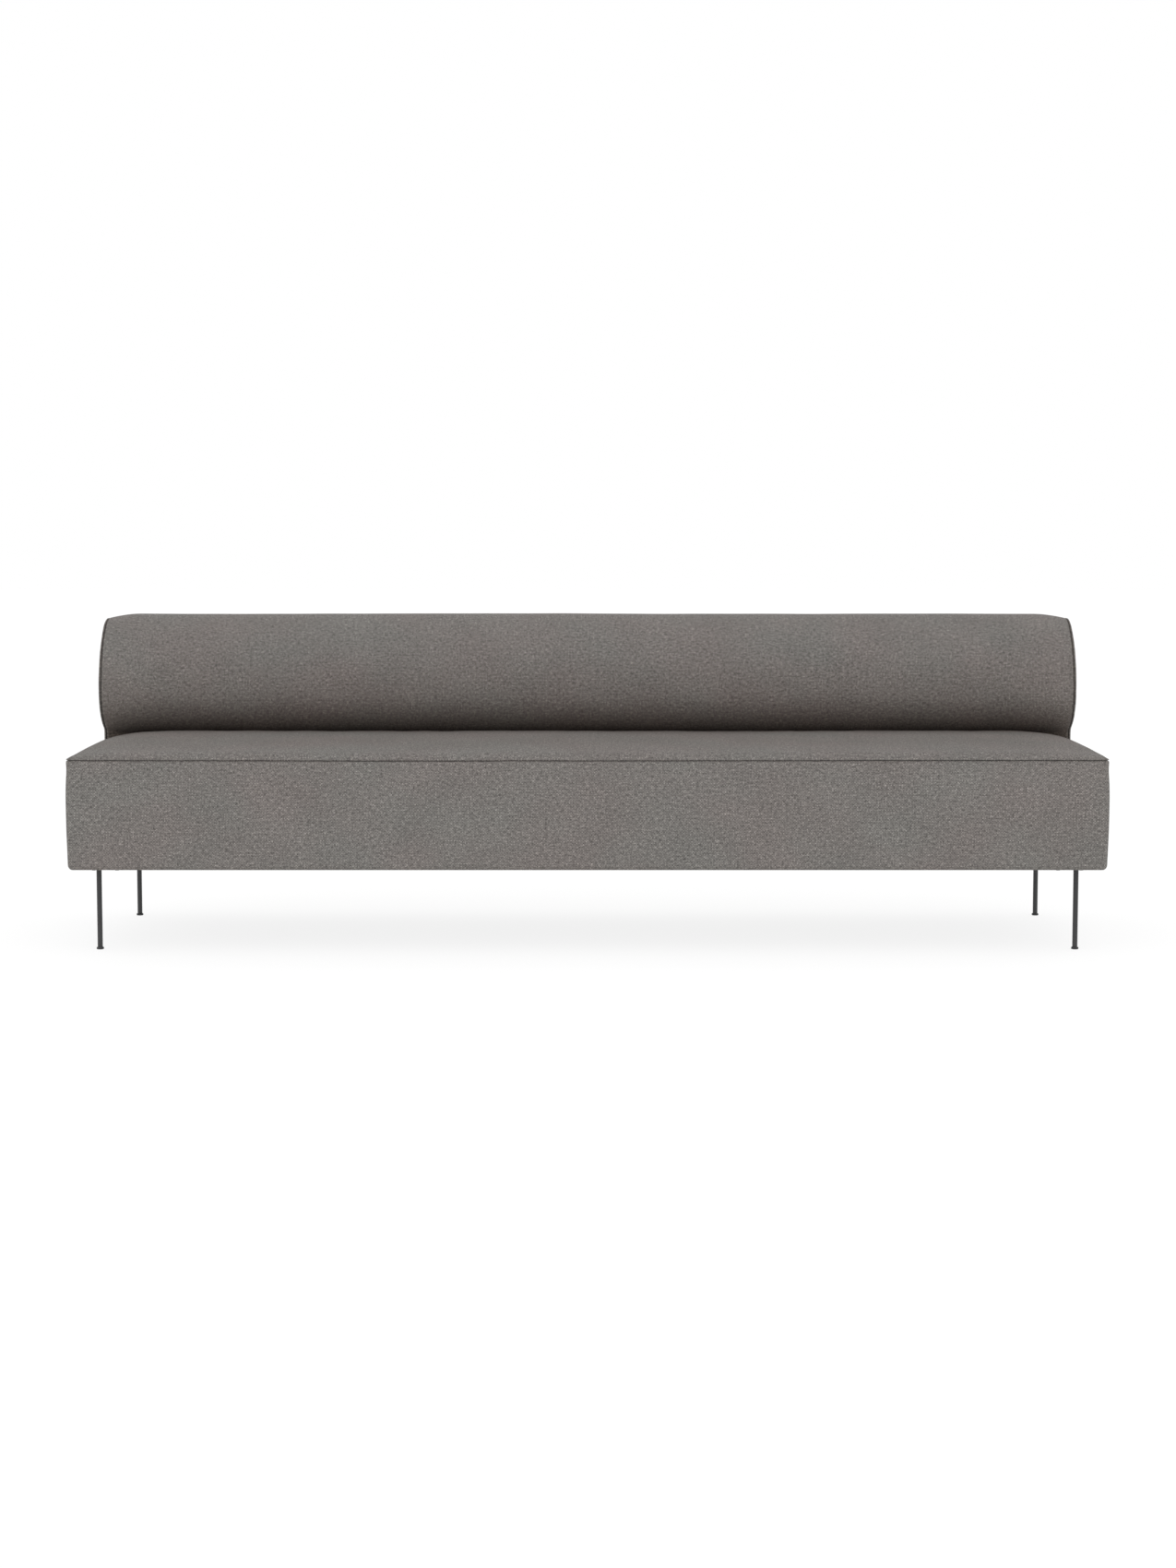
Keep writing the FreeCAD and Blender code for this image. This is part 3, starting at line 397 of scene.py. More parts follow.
def rollStations():
    # places along the sofa, closer together near the end seams
    last = back["end"] - valley[0][1]
    near = [last - run for run in back["nearEnd"]]
    stations = [x for x in spread(0, last, back["stretch"]) if x < near[-1] - 0.01] + near[::-1]
    return [-x for x in stations[:0:-1]] + stations


def backDraw(x):
    run = max(back["end"] - abs(x), 0)
    if run >= back["drawRun"]:
        return 0.0
    return back["endDraw"] * (1 - run / back["drawRun"]) ** back["drawPower"]


def rollForm():
    lengths = runsAlong(rollOutline(0))
    whole = lengths[-1]

    def section(x, draw, soft, inset):
        points = rollOutline(draw)
        normals = rollNormals(points)
        row = []
        for (y, z), (ny, nz), length in zip(points, normals, lengths):
            held = smooth(0, 0.05, length) * smooth(0, 0.04, whole - length)
            swell = back["sway"] * held * (ripple(x, y, z, 0.36, 5.3) + 0.35 * ripple(x, y, z, 0.12, 8.9))
            fromEnd = max(back["end"] - abs(x), 0)
            endDimples = pucker(length, fromEnd, back["endPucker"], 0.022, 41.0 + math.copysign(4, x))
            footDimples = pucker(x, whole - length, back["footPucker"], 0.02, 23.0)
            swell += endDimples * smooth(0.001, 0.005, fromEnd) + footDimples * smooth(0, 0.006, whole - length)
            swell = swell * soft - inset
            lift = seamLift(x, y) * (1 - smooth(0, 0.05, whole - length)) if length > whole / 2 else 0
            row.append((x, y + ny * swell, z + nz * swell + lift))
        # turned in at the rear foot, down to the frame, and closed underneath
        footLift = row[-1][2] - sofa["seam"]
        row += [(x, row[-1][1] - 0.0030, sofa["seam"] + footLift - 0.0012),
                (x, row[-1][1] - 0.0070, back["foot"]), (x, row[0][1] + 0.004, back["foot"]), row[0]]
        return row

    clothLengths = lengths + [whole + 0.003, whole + 0.007, whole + 0.2, whole + 0.21]
    # the seam's valley and the cloth turned in behind it, at both ends
    turnedIn = valley[1:] + [(0.009, 0.004), (0.012, 0.020)]
    ends = [(back["end"] - lift, back["endDraw"], 0, inset) for inset, lift in turnedIn]
    stations = [(-x, *rest) for x, *rest in ends[::-1]]
    stations += [(x, backDraw(x), 1, 0) for x in rollStations()] + ends
    rows = [section(*station) for station in stations]
    cloth = [[(station[0], length) for length in clothLengths] for station in stations]
    return sewn("backRoll", [(rows, cloth)])


backRoll = rollForm()
print("roll made,", len(backRoll.data.polygons), "faces")


# bulging end panels of the back

panel = {"bulge": 0.0097, "run": 0.050, "spineLow": (0.246, 0.500), "spineHigh": (0.214, 0.640), "spineParts": 16,
         "footSteps": 16, "pucker": 0.0008, "sway": 0.0007, "turnedIn": [(0.0105, -0.012), (0.0105, -0.003)],
         "steps": [0.012, 0.03, 0.055, 0.09, 0.135, 0.19, 0.26, 0.34, 0.44, 0.56, 0.7, 0.85, 1.0]}


def endPanel(name, side):
    loop = rollOutline(back["endDraw"])
    loop += [(y, sofa["seam"]) for y in spread(loop[-1][0], loop[0][0], panel["footSteps"])[1:]]
    outline = np.array(loop)
    low, high = Vector(panel["spineLow"]), Vector(panel["spineHigh"])
    spine = high - low

    def edgeDistance(y, z):
        a, b = outline[:-1], outline[1:]
        step = b - a
        along = ((np.array((y, z)) - a) * step).sum(1) / np.maximum((step * step).sum(1), 1e-12)
        near = a + step * np.clip(along, 0, 1)[:, None]
        return float(np.sqrt(((near - (y, z)) ** 2).sum(1)).min())

    def inward(point, share):
        place = Vector(point)
        along = min(max((place - low).dot(spine) / spine.length_squared, 0), 1)
        # both sides of the innermost row land on the same places, so they sew together
        met = round(along * panel["spineParts"]) / panel["spineParts"]
        return place.lerp(low + spine * (along + (met - along) * share), share)

    rows = []
    for inset, lift in panel["turnedIn"] + valley[::-1]:
        row = []
        for point in loop:
            place = Vector(point)
            place += (inward(point, 1.0) - place).normalized() * inset
            row.append((side * (back["end"] + lift), place.x, place.y))
        rows.append(row)
    for share in panel["steps"]:
        row = []
        for k, point in enumerate(loop):
            place = inward(point, share)
            depth = edgeDistance(place.x, place.y)
            curve = math.sqrt(max(1 - (1 - min(depth / panel["run"], 1)) ** 2, 0))
            full = valley[0][1] + (panel["bulge"] - valley[0][1]) * curve
            full += pucker(k * 0.011, depth, panel["pucker"], 0.018, 57.0 + side) * smooth(0, 0.004, depth)
            full += panel["sway"] * smooth(0, 0.05, depth) * ripple(place.x, place.y, 0, 0.12, 3.0 + side)
            row.append((side * (back["end"] + full), place.x, place.y))
        rows.append(row)
    cloth = [[(p[1], p[2]) for p in row] for row in rows]
    return sewn(name, [(rows, cloth)])


backEndPanelLeft = endPanel("backEndPanelLeft", -1)
backEndPanelRight = endPanel("backEndPanelRight", 1)
print("end panels made,", len(backEndPanelLeft.data.polygons), "faces each")


# dust cover: a thin cloth stapled under the frame

dust = {"halfX": 1.18, "halfY": 0.325, "top": 0.1938, "thick": 0.0005, "sag": 0.0035, "bay": 0.6,
        "sway": 0.0011, "along": 150, "across": 44}


def dustSag(x, y):
    fromEdge = min(dust["halfX"] - abs(x), dust["halfY"] - abs(y))
    bays = abs(math.sin(math.pi * (x + dust["bay"]) / dust["bay"]))
    fromPlate = math.hypot(abs(x) - sofa["plateX"], abs(y) - sofa["plateY"])
    free = smooth(0.02, 0.14, fromEdge) * smooth(0.05, 0.14, fromPlate)
    drop = dust["sag"] * free * (0.35 + 0.65 * bays)
    drop += dust["sway"] * free * (ripple(x, y, 0, 0.11, 2.2) + 0.5 * ripple(x, y, 0, 0.04, 8.1))
    return max(drop, 0)


def dustSheet():
    patches = []
    for thick in (0, dust["thick"]):
        rows = []
        for y in spread(-dust["halfY"], dust["halfY"], dust["across"], 0.3):
            rows.append([(x, y, dust["top"] - dustSag(x, y) - thick)
                         for x in spread(-dust["halfX"], dust["halfX"], dust["along"], 0.1)])
        patches.append((rows, [[(x, y) for x, y, z in row] for row in rows]))
    rims = [rimOf(rows) for rows, cloth in patches]
    patches.append((rims, [[(x, y) for x, y, z in rim] for rim in rims]))
    return sewn("dustCover", patches)


dustCover = dustSheet()
print("dust cover made")


# Geometry Nodes: what repeats along a path or sits on points

def fitted(tree, kind, settings, sockets):
    # a new node, its settings first, then the values or links of its sockets
    made = tree.nodes.new(kind)
    for key, value in (settings or {}).items():
        if key == "stops":
            ramp = made.color_ramp.elements
            while len(ramp) < len(value):
                ramp.new(1.0)
            for stop, (place, colour) in zip(ramp, value):
                stop.position, stop.color = place, colour
        else:
            setattr(made, key, value)
    for key, value in sockets.items():
        if isinstance(value, bpy.types.NodeSocket):
            tree.links.new(value, made.inputs[key])
        else:
            made.inputs[key].default_value = value
    return made


class Growth:
    # one Geometry Nodes tree with named inputs, ending in Realize Instances and Set Material
    def __init__(self, name, inputs):
        self.tree = bpy.data.node_groups.new(name, "GeometryNodeTree")
        face = self.tree.interface
        face.new_socket("Geometry", in_out="INPUT", socket_type="NodeSocketGeometry")
        self.sockets = {}
        for label, (kind, value) in inputs.items():
            socket = face.new_socket(label, in_out="INPUT", socket_type="NodeSocket" + kind)
            self.sockets[label] = (socket.identifier, value)
        face.new_socket("Geometry", in_out="OUTPUT", socket_type="NodeSocketGeometry")
        self.inlet = self.tree.nodes.new("NodeGroupInput")

    def given(self, label):
        return self.inlet.outputs[label]

    def node(self, kind, settings=None, sockets=None, out=0):
        return fitted(self.tree, kind, settings, sockets or {}).outputs[out]

    def along(self, spacing, axis):
        # points every so far along the path, and the rotation that lays an axis along it
        curve = self.node("GeometryNodeMeshToCurve", sockets={"Mesh": self.inlet.outputs[0]})
        even = self.node("GeometryNodeResampleCurve", {"mode": "LENGTH"},
                         {"Curve": curve, "Length": self.given(spacing)})
        tangent = self.node("GeometryNodeInputTangent")
        return even, self.node("FunctionNodeAlignRotationToVector", {"axis": axis}, {"Vector": tangent})

    def turn(self, low, high):
        # a random turn about the vertical axis
        return self.node("FunctionNodeRandomValue", {"data_type": "FLOAT_VECTOR"},
                         {0: (0, 0, low), 1: (0, 0, high), "Seed": self.given("Seed")})

    def placed(self, points, shape, rotation, scale=1.0):
        if not isinstance(scale, bpy.types.NodeSocket):
            scale = (scale, scale, scale)
        return self.node("GeometryNodeInstanceOnPoints", sockets={
            "Points": points, "Instance": shape, "Rotation": rotation, "Scale": scale})

    def grow(self, name, path, result, material):
        realized = self.node("GeometryNodeRealizeInstances", sockets={0: result})
        finished = self.node("GeometryNodeSetMaterial", sockets={"Geometry": realized, "Material": material})
        outlet = self.tree.nodes.new("NodeGroupOutput")
        self.tree.links.new(finished, outlet.inputs[0])
        modifier = path.modifiers.new("growth", "NODES")
        modifier.node_group = self.tree
        for identifier, value in self.sockets.values():
            modifier[identifier] = value
        ready = path.evaluated_get(bpy.context.evaluated_depsgraph_get())
        mesh = bpy.data.meshes.new_from_object(ready)
        path.modifiers.clear()
        bpy.data.objects.remove(path)
        mesh.name = name
        return asObject(name, mesh)


def pathOf(name, points, closed=False):
    mesh = bpy.data.meshes.new(name)
    edges = [(k, k + 1) for k in range(len(points) - 1)]
    if closed:
        edges.append((len(points) - 1, 0))
    mesh.from_pydata(points, edges, [])
    return asObject(name, mesh)


# materials

class Grain:
    # wraps a shader socket, so that an expression on values adds its Math nodes
    def __init__(self, finish, socket):
        self.finish = finish
        self.socket = socket

    def math(self, operation, other=None, swapped=False):
        sockets = {0: self} if other is None else ({0: other, 1: self} if swapped else {0: self, 1: other})
        return self.finish.node("ShaderNodeMath", {"operation": operation}, sockets)

    def __add__(self, other): return self.math("ADD", other)
    def __radd__(self, other): return self.math("ADD", other, True)
    def __sub__(self, other): return self.math("SUBTRACT", other)
    def __rsub__(self, other): return self.math("SUBTRACT", other, True)
    def __mul__(self, other): return self.math("MULTIPLY", other)
    def __rmul__(self, other): return self.math("MULTIPLY", other, True)


class Finish:
    # one material and its nodes; values come back as Grain
    def __init__(self, name):
        self.material = bpy.data.materials.new(name)
        self.material.use_nodes = True
        self.tree = self.material.node_tree
        self.tree.nodes.clear()

    def node(self, kind, settings=None, sockets=None, out=0):
        plain = {key: getattr(value, "socket", value) for key, value in (sockets or {}).items()}
        made = fitted(self.tree, kind, settings, plain)
        return Grain(self, made.outputs[out]) if made.outputs else None

    def place(self, cloth=False):
        if cloth:
            return self.node("ShaderNodeUVMap", {"uv_map": "cloth"})
        return self.node("ShaderNodeTexCoord", out="Object")

    def axis(self, vector, which):
        return self.node("ShaderNodeSeparateXYZ", sockets={0: vector}, out=which)

    def scaled(self, vector, scale, turn=0.0):
        return self.node("ShaderNodeMapping", sockets={"Vector": vector, "Scale": scale, "Rotation": (0, 0, turn)})

    def cloud(self, vector, scale, detail=2.0, rough=0.5):
        # three scales stretch the pattern, one keeps it even
        if isinstance(scale, tuple):
            vector, scale = self.scaled(vector, scale), 1.0
        return self.node("ShaderNodeTexNoise", {"noise_dimensions": "3D"},
                         {"Vector": vector, "Scale": scale, "Detail": detail, "Roughness": rough})

    def bands(self, vector, direction, scale, distortion=0.0, detail=2.0):
        return self.node("ShaderNodeTexWave", {"wave_type": "BANDS", "bands_direction": direction},
                         {"Vector": vector, "Scale": scale, "Distortion": distortion, "Detail": detail})

    def cells(self, vector, scale, randomness=1.0):
        return self.node("ShaderNodeTexVoronoi", {"feature": "F1"},
                         {"Vector": vector, "Scale": scale, "Randomness": randomness})

    def fit(self, value, low, high, toLow=0.0, toHigh=1.0):
        return self.node("ShaderNodeMapRange", {"clamp": True},
                         {"Value": value, "From Min": low, "From Max": high, "To Min": toLow, "To Max": toHigh})

    def blend(self, factor, first, second, kind="MIX"):
        return self.node("ShaderNodeMix", {"data_type": "RGBA", "blend_type": kind},
                         {0: factor, 6: first, 7: second}, out=2)

    def bump(self, height, distance, strength=0.5):
        return self.node("ShaderNodeBump", sockets={"Height": height, "Distance": distance, "Strength": strength})

    def done(self, **sockets):
        named = {key.replace("_", " "): value for key, value in sockets.items()}
        shader = self.node("ShaderNodeBsdfPrincipled", sockets=named)
        self.node("ShaderNodeOutputMaterial", sockets={"Surface": shader})
        return self.material


# "shares" is (fleck, share of the tone); slub, patch and streak are (scale, detail, roughness, darkest, palest)
fabric = {"yarn": 0.0032, "tone": (0.197, 0.184, 0.174), "gap": 0.62,
          "shares": [(0.0, 0.42), (0.32, 0.84), (0.62, 1.08), (1.0, 1.78)],
          "slub": ((95, 210, 1), 1.0, 0.5, 0.90, 1.10), "patch": ((7.5, 9.0, 1), 3.0, 0.6, 0.94, 1.06),
          "streak": ((12.0, 170.0, 1), 2.0, 0.6, 0.945, 1.055),
          "warm": (1.020, 0.985, 0.980, 1), "cool": (0.985, 1.006, 0.996, 1),
          # the tones from here on are painted shade, laid over the cloth in the crease, on the seat top, down the
          # roll and along the seams
          "creaseShadeTone": (0.52, 0.49, 0.46, 1), "lowerRollShadeTone": (0.99, 0.925, 0.90, 1),
          "seatShadeTone": (0.90, 0.885, 0.875, 1), "seamShadeTone": (0.68, 0.66, 0.64, 1), "seamShade": 0.5}


def toned(tone, share):
    return tuple(channel * share for channel in tone) + (1,)


def melangeCloth(name):
    # woven wool blend: dyed, pale and dark yarns in a plain weave, with slow patches of warmth
    finish = Finish(name)
    yarn = 1 / fabric["yarn"]
    spot = finish.place(cloth=True)
    sway = (finish.cloud(spot, (60, 60, 1), 1.0) - 0.5) * 0.9
    acrossWave = (finish.axis(spot, 0) * (math.pi * yarn) + sway).math("SINE")
    alongWave = (finish.axis(spot, 1) * (math.pi * yarn) + sway).math("SINE")
    over = finish.fit(acrossWave * alongWave, -0.18, 0.18)
    weftFleck = finish.cloud(spot, (yarn * 0.34, yarn * 0.95, 1), 2.0, 0.65)
    warpFleck = finish.cloud(spot, (yarn * 0.95, yarn * 0.45, 1), 2.0, 0.65)
    fleck = over * weftFleck + (1 - over) * warpFleck
    ridge = over * alongWave.math("ABSOLUTE") + (1 - over) * acrossWave.math("ABSOLUTE")
    fuzz = finish.cloud(spot, (2600, 2600, 1), 2.0, 0.7)
    stops = [(place, toned(fabric["tone"], share)) for place, share in fabric["shares"]]
    base = finish.node("ShaderNodeValToRGB", {"stops": stops}, {0: finish.fit(fleck, 0.32, 0.68)})
    # painted shade of the weave: the yarns paler on their crowns and darker in the gaps between them
    depth = finish.fit(ridge, 0.05, 0.75, fabric["gap"], 1.06) * finish.fit(over, 0, 1, 0.87, 1.13)
    for slow in ("slub", "patch", "streak"):
        scale, detail, rough, darkest, palest = fabric[slow]
        depth = depth * finish.fit(finish.cloud(spot, scale, detail, rough), 0.3, 0.7, darkest, palest)
    grey = finish.node("ShaderNodeCombineColor", sockets={0: depth, 1: depth, 2: depth})
    shaded = finish.blend(1.0, base, grey, "MULTIPLY")

    # painted shade: the cloth is painted darker and warmer in the crease where the roll meets the seat, on the seat
    # top towards the back and on the roll towards its bottom
    where = finish.place()
    depthIn, height = finish.axis(where, 1), finish.axis(where, 2)
    sideways = finish.axis(where, 0).math("ABSOLUTE")
    inside = finish.fit(depthIn, 0.19, 0.2, 1, 0) * finish.fit(sideways, 1.185, 1.193, 1, 0)
    inside = inside * finish.fit(height, 0.444, 0.448)
    creaseShade = finish.fit(height, 0.472, 0.565, 1, 0) * finish.fit(depthIn, -0.06, 0.11) * inside
    seatShade = finish.fit(depthIn, -0.335, -0.20) * finish.fit(height, 0.487, 0.492, 1, 0) * inside
    lowerRollShade = finish.fit(height, 0.485, 0.67, 1, 0) * finish.fit(depthIn, 0.03, 0.07) * inside
    # painted shade along the end seams, the front seam and the hem under the border
    endSeam = (sideways - back["end"]).math("ABSOLUTE")
    endSeam = finish.fit(endSeam, 0.0012, 0.0042, 1, 0) * finish.fit(height, 0.446, 0.450)
    frontSeam = finish.fit((height - 0.4452).math("ABSOLUTE"), 0.0006, 0.0042, 1, 0)
    hem = finish.fit(height, 0.1945, 0.2035, 1, 0)
    seams = endSeam + (frontSeam + hem) * fabric["seamShade"]
    for mask, tone in ((creaseShade, "creaseShadeTone"), (seatShade, "seatShadeTone"), (lowerRollShade, "lowerRollShadeTone"), (seams, "seamShadeTone")):
        shaded = finish.blend(mask, shaded, fabric[tone], "MULTIPLY")
    warmth = finish.fit(finish.cloud(spot, (4.1, 5.3, 1)), 0.35, 0.65)
    colour = finish.blend(1.0, shaded, finish.blend(warmth, fabric["warm"], fabric["cool"]), "MULTIPLY")
    return finish.done(Base_Color=colour, Roughness=finish.fit(fuzz, 0.2, 0.8, 0.82, 0.96),
                       Normal=finish.bump(ridge * 0.8 + fuzz * 0.25 + fleck * 0.3, 0.0007, 0.75),
                       Sheen_Weight=0.04, Sheen_Roughness=0.5, Specular_IOR_Level=0.15)


def dustCloth():
    # spun black fibres with rows of bonded dots
    finish = Finish("dustCloth")
    spot = finish.place(cloth=True)
    fibres = finish.cloud(finish.scaled(spot, (620, 140, 1), 0.5), 1.0, 4.0, 0.7)
    bond = finish.fit(finish.cells(finish.scaled(spot, (420, 420, 1), 0.785), 1.0, 0.15), 0.18, 0.34)
    wear = finish.cloud(spot, (12, 12, 1), 3.0, 0.6)
    shade = finish.fit(fibres * 0.7 + wear * 0.3, 0.35, 0.65)
    colour = finish.blend(shade, (0.012, 0.012, 0.013, 1), (0.034, 0.034, 0.037, 1))
    return finish.done(Base_Color=colour, Roughness=finish.fit(bond, 0, 1, 0.55, 0.85),
                       Normal=finish.bump(bond * 0.6 + fibres * 0.5, 0.0003, 0.6), Specular_IOR_Level=0.3)


def powderCoat(name, low, high):
    finish = Finish(name)
    spot = finish.place()
    grain = finish.cloud(spot, 1500.0, 2.0, 0.6)
    rub = finish.cloud(spot, 14.0, 3.0, 0.65)
    colour = finish.blend(finish.fit(rub * 0.6 + grain * 0.4, 0.38, 0.62), low, high)
    return finish.done(Base_Color=colour, Metallic=0.0, Specular_IOR_Level=0.42,
                       Roughness=finish.fit(rub, 0.35, 0.7, 0.40, 0.52),
                       Normal=finish.bump(finish.cells(spot, 900.0) * 0.6 + grain * 0.5, 0.00012))


def wood(name, pale, dark, plies=0.0):
    finish = Finish(name)
    spot = finish.place()
    wander = finish.cloud(spot, (1.4, 6, 6), 3.0, 0.6)
    rings = finish.bands(finish.scaled(spot, (0.6, 9, 14)), "Z", 3.0, 5.0)
    pores = finish.cloud(spot, (40, 900, 900), 2.0, 0.6)
    value = finish.fit(rings * 0.55 + wander * 0.3 + pores * 0.3, 0.25, 0.85)
    colour = finish.blend(value, pale, dark)
    if plies:
        layer = finish.fit(finish.bands(spot, "X", plies), 0.4, 0.6, 0.0, 0.35)
        colour = finish.blend(layer, colour, dark)
    return finish.done(Base_Color=colour, Roughness=finish.fit(pores, 0.3, 0.7, 0.55, 0.75),
                       Normal=finish.bump(value + pores * 0.5, 0.0002), Specular_IOR_Level=0.3)


def strapWeave():
    finish = Finish("strapWeave")
    spot = finish.place()
    ribs = finish.bands(spot, "DIAGONAL", 260.0, 0.4, 1.0)
    fibre = finish.cloud(spot, 900.0, 2.0, 0.6)
    shade = finish.fit(ribs * 0.7 + fibre * 0.3, 0.2, 0.8)
    colour = finish.blend(shade, (0.20, 0.16, 0.11, 1), (0.46, 0.40, 0.29, 1))
    return finish.done(Base_Color=colour, Roughness=finish.fit(fibre, 0.2, 0.8, 0.7, 0.9),
                       Normal=finish.bump(ribs, 0.0004, 0.6), Specular_IOR_Level=0.25)


def steel(name, tone, rough):
    finish = Finish(name)
    spot = finish.place()
    brushed = finish.cloud(spot, (900, 900, 60), 3.0, 0.6)
    spots = finish.cloud(spot, 220.0, 3.0, 0.6)
    colour = finish.blend(finish.fit(spots, 0.35, 0.65), toned(tone, 0.82), toned(tone, 1))
    return finish.done(Base_Color=colour, Metallic=finish.fit(spots, 0.2, 0.4, 0.92, 1.0),
                       Roughness=finish.fit(brushed, 0.3, 0.7, rough, rough + 0.14),
                       Normal=finish.bump(brushed, 0.00005, 0.4))


def nylon():
    finish = Finish("glideNylon")
    spot = finish.place()
    grain = finish.cloud(spot, 700.0, 3.0, 0.6)
    scuff = finish.cloud(spot, (60, 60, 400), 3.0, 0.7)
    colour = finish.blend(finish.fit(scuff, 0.4, 0.7), (0.018, 0.018, 0.019, 1), (0.05, 0.05, 0.053, 1))
    return finish.done(Base_Color=colour, Roughness=finish.fit(scuff, 0.35, 0.7, 0.38, 0.6),
                       Normal=finish.bump(grain + scuff, 0.00008), Specular_IOR_Level=0.5)


def thread():
    finish = Finish("seamThread")
    twist = finish.bands(finish.place(), "DIAGONAL", 900.0, 0.5)
    colour = finish.blend(finish.fit(twist, 0.2, 0.8), (0.03, 0.028, 0.026, 1), (0.08, 0.075, 0.07, 1))
    return finish.done(Base_Color=colour, Roughness=finish.fit(twist, 0, 1, 0.6, 0.8),
                       Normal=finish.bump(twist, 0.0001), Specular_IOR_Level=0.3)


finishes = {
    "melange_cloth": melangeCloth("melangeCloth"), "underside_cloth": dustCloth(), "webbing": strapWeave(),
    "pine": wood("pineWood", (0.62, 0.43, 0.24, 1), (0.38, 0.22, 0.10, 1)),
    "plywood": wood("birchPlywood", (0.66, 0.50, 0.31, 1), (0.42, 0.28, 0.15, 1), 60.0),
    "leg_powder_coat": powderCoat("legPowderCoat", (0.024, 0.024, 0.025, 1), (0.042, 0.042, 0.043, 1)),
    "zinc_steel": steel("zincSteel", (0.62, 0.62, 0.60), 0.28), "glide_nylon": nylon()}
threadFinish = thread()
stapleFinish = steel("stapleSteel", (0.70, 0.69, 0.66), 0.25)
screwFinish = steel("blackScrewSteel", (0.10, 0.10, 0.105), 0.35)
print("materials made")


def coat(piece, material):
    piece.data.materials.clear()
    piece.data.materials.append(material)
    for face in piece.data.polygons:
        face.material_index = 0


def dressed(piece, slot, body="sofa"):
    # finish of the record's slot, and the body that carries the piece
    coat(piece, finishes[slot])
    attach(piece, body)


for piece in (seatTop, seatBorder, backRoll, backEndPanelLeft, backEndPanelRight):
    dressed(piece, "melange_cloth")
dressed(dustCover, "underside_cloth")
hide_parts("seat_top_cover", "seat_foam")
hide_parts("seat_border_cover", "border_padding")
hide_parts("back_cover", "back_foam")
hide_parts("back_end_panel_left", "back_end_pad_left")
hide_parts("back_end_panel_right", "back_end_pad_right")
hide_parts("dust_cover")

slotOf = {row["node"]: row["material_slot"] for row in frame["record"]["subparts"]}
for name, node in frame["nodes"].items():
    if slotOf[name] in finishes:
        coat(node, finishes[slotOf[name]])


# stitches in the seams

stitch = {"pitch": 0.0042, "length": 0.0033, "thick": 0.0005, "inset": 0.0042, "shortest": 0.86, "longest": 1.08,
          "seed": 7}


def stitched(name, points):
    growth = Growth(name + "Tree", {
        "Stitch pitch": ("Float", stitch["pitch"]), "Stitch length": ("Float", stitch["length"]),
        "Thread radius": ("Float", stitch["thick"] / 2), "Seed": ("Int", stitch["seed"])})
    path = pathOf(name, points)
    even, aligned = growth.along("Stitch pitch", "Z")
    line = growth.node("GeometryNodeMeshCylinder", {"fill_type": "TRIANGLE_FAN"},
                       {"Vertices": 6, "Side Segments": 1, "Radius": growth.given("Thread radius"),
                        "Depth": growth.given("Stitch length")})
    uneven = growth.node("FunctionNodeRandomValue", {"data_type": "FLOAT"},
                         {2: stitch["shortest"], 3: stitch["longest"], "Seed": growth.given("Seed")}, out=1)
    placed = growth.placed(even, line, aligned, uneven)
    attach(growth.grow(name, path, placed, threadFinish), "sofa")


def seatSeamPath():
    inset = sofa["seamInset"] + stitch["inset"]
    places = [place for strip in outlinePlaces() for place in strip[:-1] if place[1] <= sofa["neckPlane"]]
    return [fuller(x - nx * inset, y - ny * inset, sofa["seam"] + seamLift(x, y)) for x, y, nx, ny in places]


stitched("seatSeamStitches", seatSeamPath())
for side, word in ((-1, "Left"), (1, "Right")):
    loop = rollOutline(back["endDraw"] + stitch["inset"])
    stitched("rollSeamStitches" + word, [(side * back["end"], y, z) for y, z in loop])
print("stitches sewn")


# staples that hold the dust cover

staple = {"pitch": 0.045, "crown": 0.010, "leg": 0.004, "wire": 0.0006, "inset": 0.008, "sink": 0.0011,
          "askew": 0.25, "seed": 3}


def staples():
    growth = Growth("stapleTree", {
        "Staple pitch": ("Float", staple["pitch"]), "Wire radius": ("Float", staple["wire"]),
        "Crown width": ("Float", staple["crown"]), "Seed": ("Int", staple["seed"])})
    x, y, z = dust["halfX"] - staple["inset"], dust["halfY"] - staple["inset"], dust["top"] - dust["thick"] - 0.0003
    path = pathOf("coverStaples", [(-x, -y, z), (x, -y, z), (x, y, z), (-x, y, z)], True)
    even, aligned = growth.along("Staple pitch", "X")
    ends = []
    for share, up in ((-0.5, staple["leg"]), (-0.5, 0.0), (0.5, 0.0), (0.5, staple["leg"])):
        across = growth.node("ShaderNodeMath", {"operation": "MULTIPLY"}, {0: growth.given("Crown width"), 1: share})
        ends.append(growth.node("ShaderNodeCombineXYZ", sockets={0: across, 2: up}))
    wire = growth.node("GeometryNodeCurvePrimitiveBezierSegment", sockets={
        "Resolution": 12, "Start": ends[0], "Start Handle": ends[1], "End Handle": ends[2], "End": ends[3]})
    ring = growth.node("GeometryNodeCurvePrimitiveCircle", sockets={
        "Resolution": 6, "Radius": growth.given("Wire radius")})
    bent = growth.node("GeometryNodeCurveToMesh", sockets={"Curve": wire, "Profile Curve": ring, "Fill Caps": True})
    lowered = growth.node("GeometryNodeTransform", sockets={
        "Geometry": bent, "Translation": (0, 0, -staple["sink"])})
    turn = growth.turn(-staple["askew"], staple["askew"])
    loose = growth.node("FunctionNodeRotateRotation", {"rotation_space": "LOCAL"}, {
        0: aligned, 1: growth.node("FunctionNodeEulerToRotation", sockets={0: turn})})
    return growth.grow("coverStaples", path, growth.placed(even, lowered, loose), stapleFinish)


coverStaples = staples()
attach(coverStaples, "sofa")
print("staples driven")


# screws through the leg plates; "loops" is (radius, height) down the shank and over the head

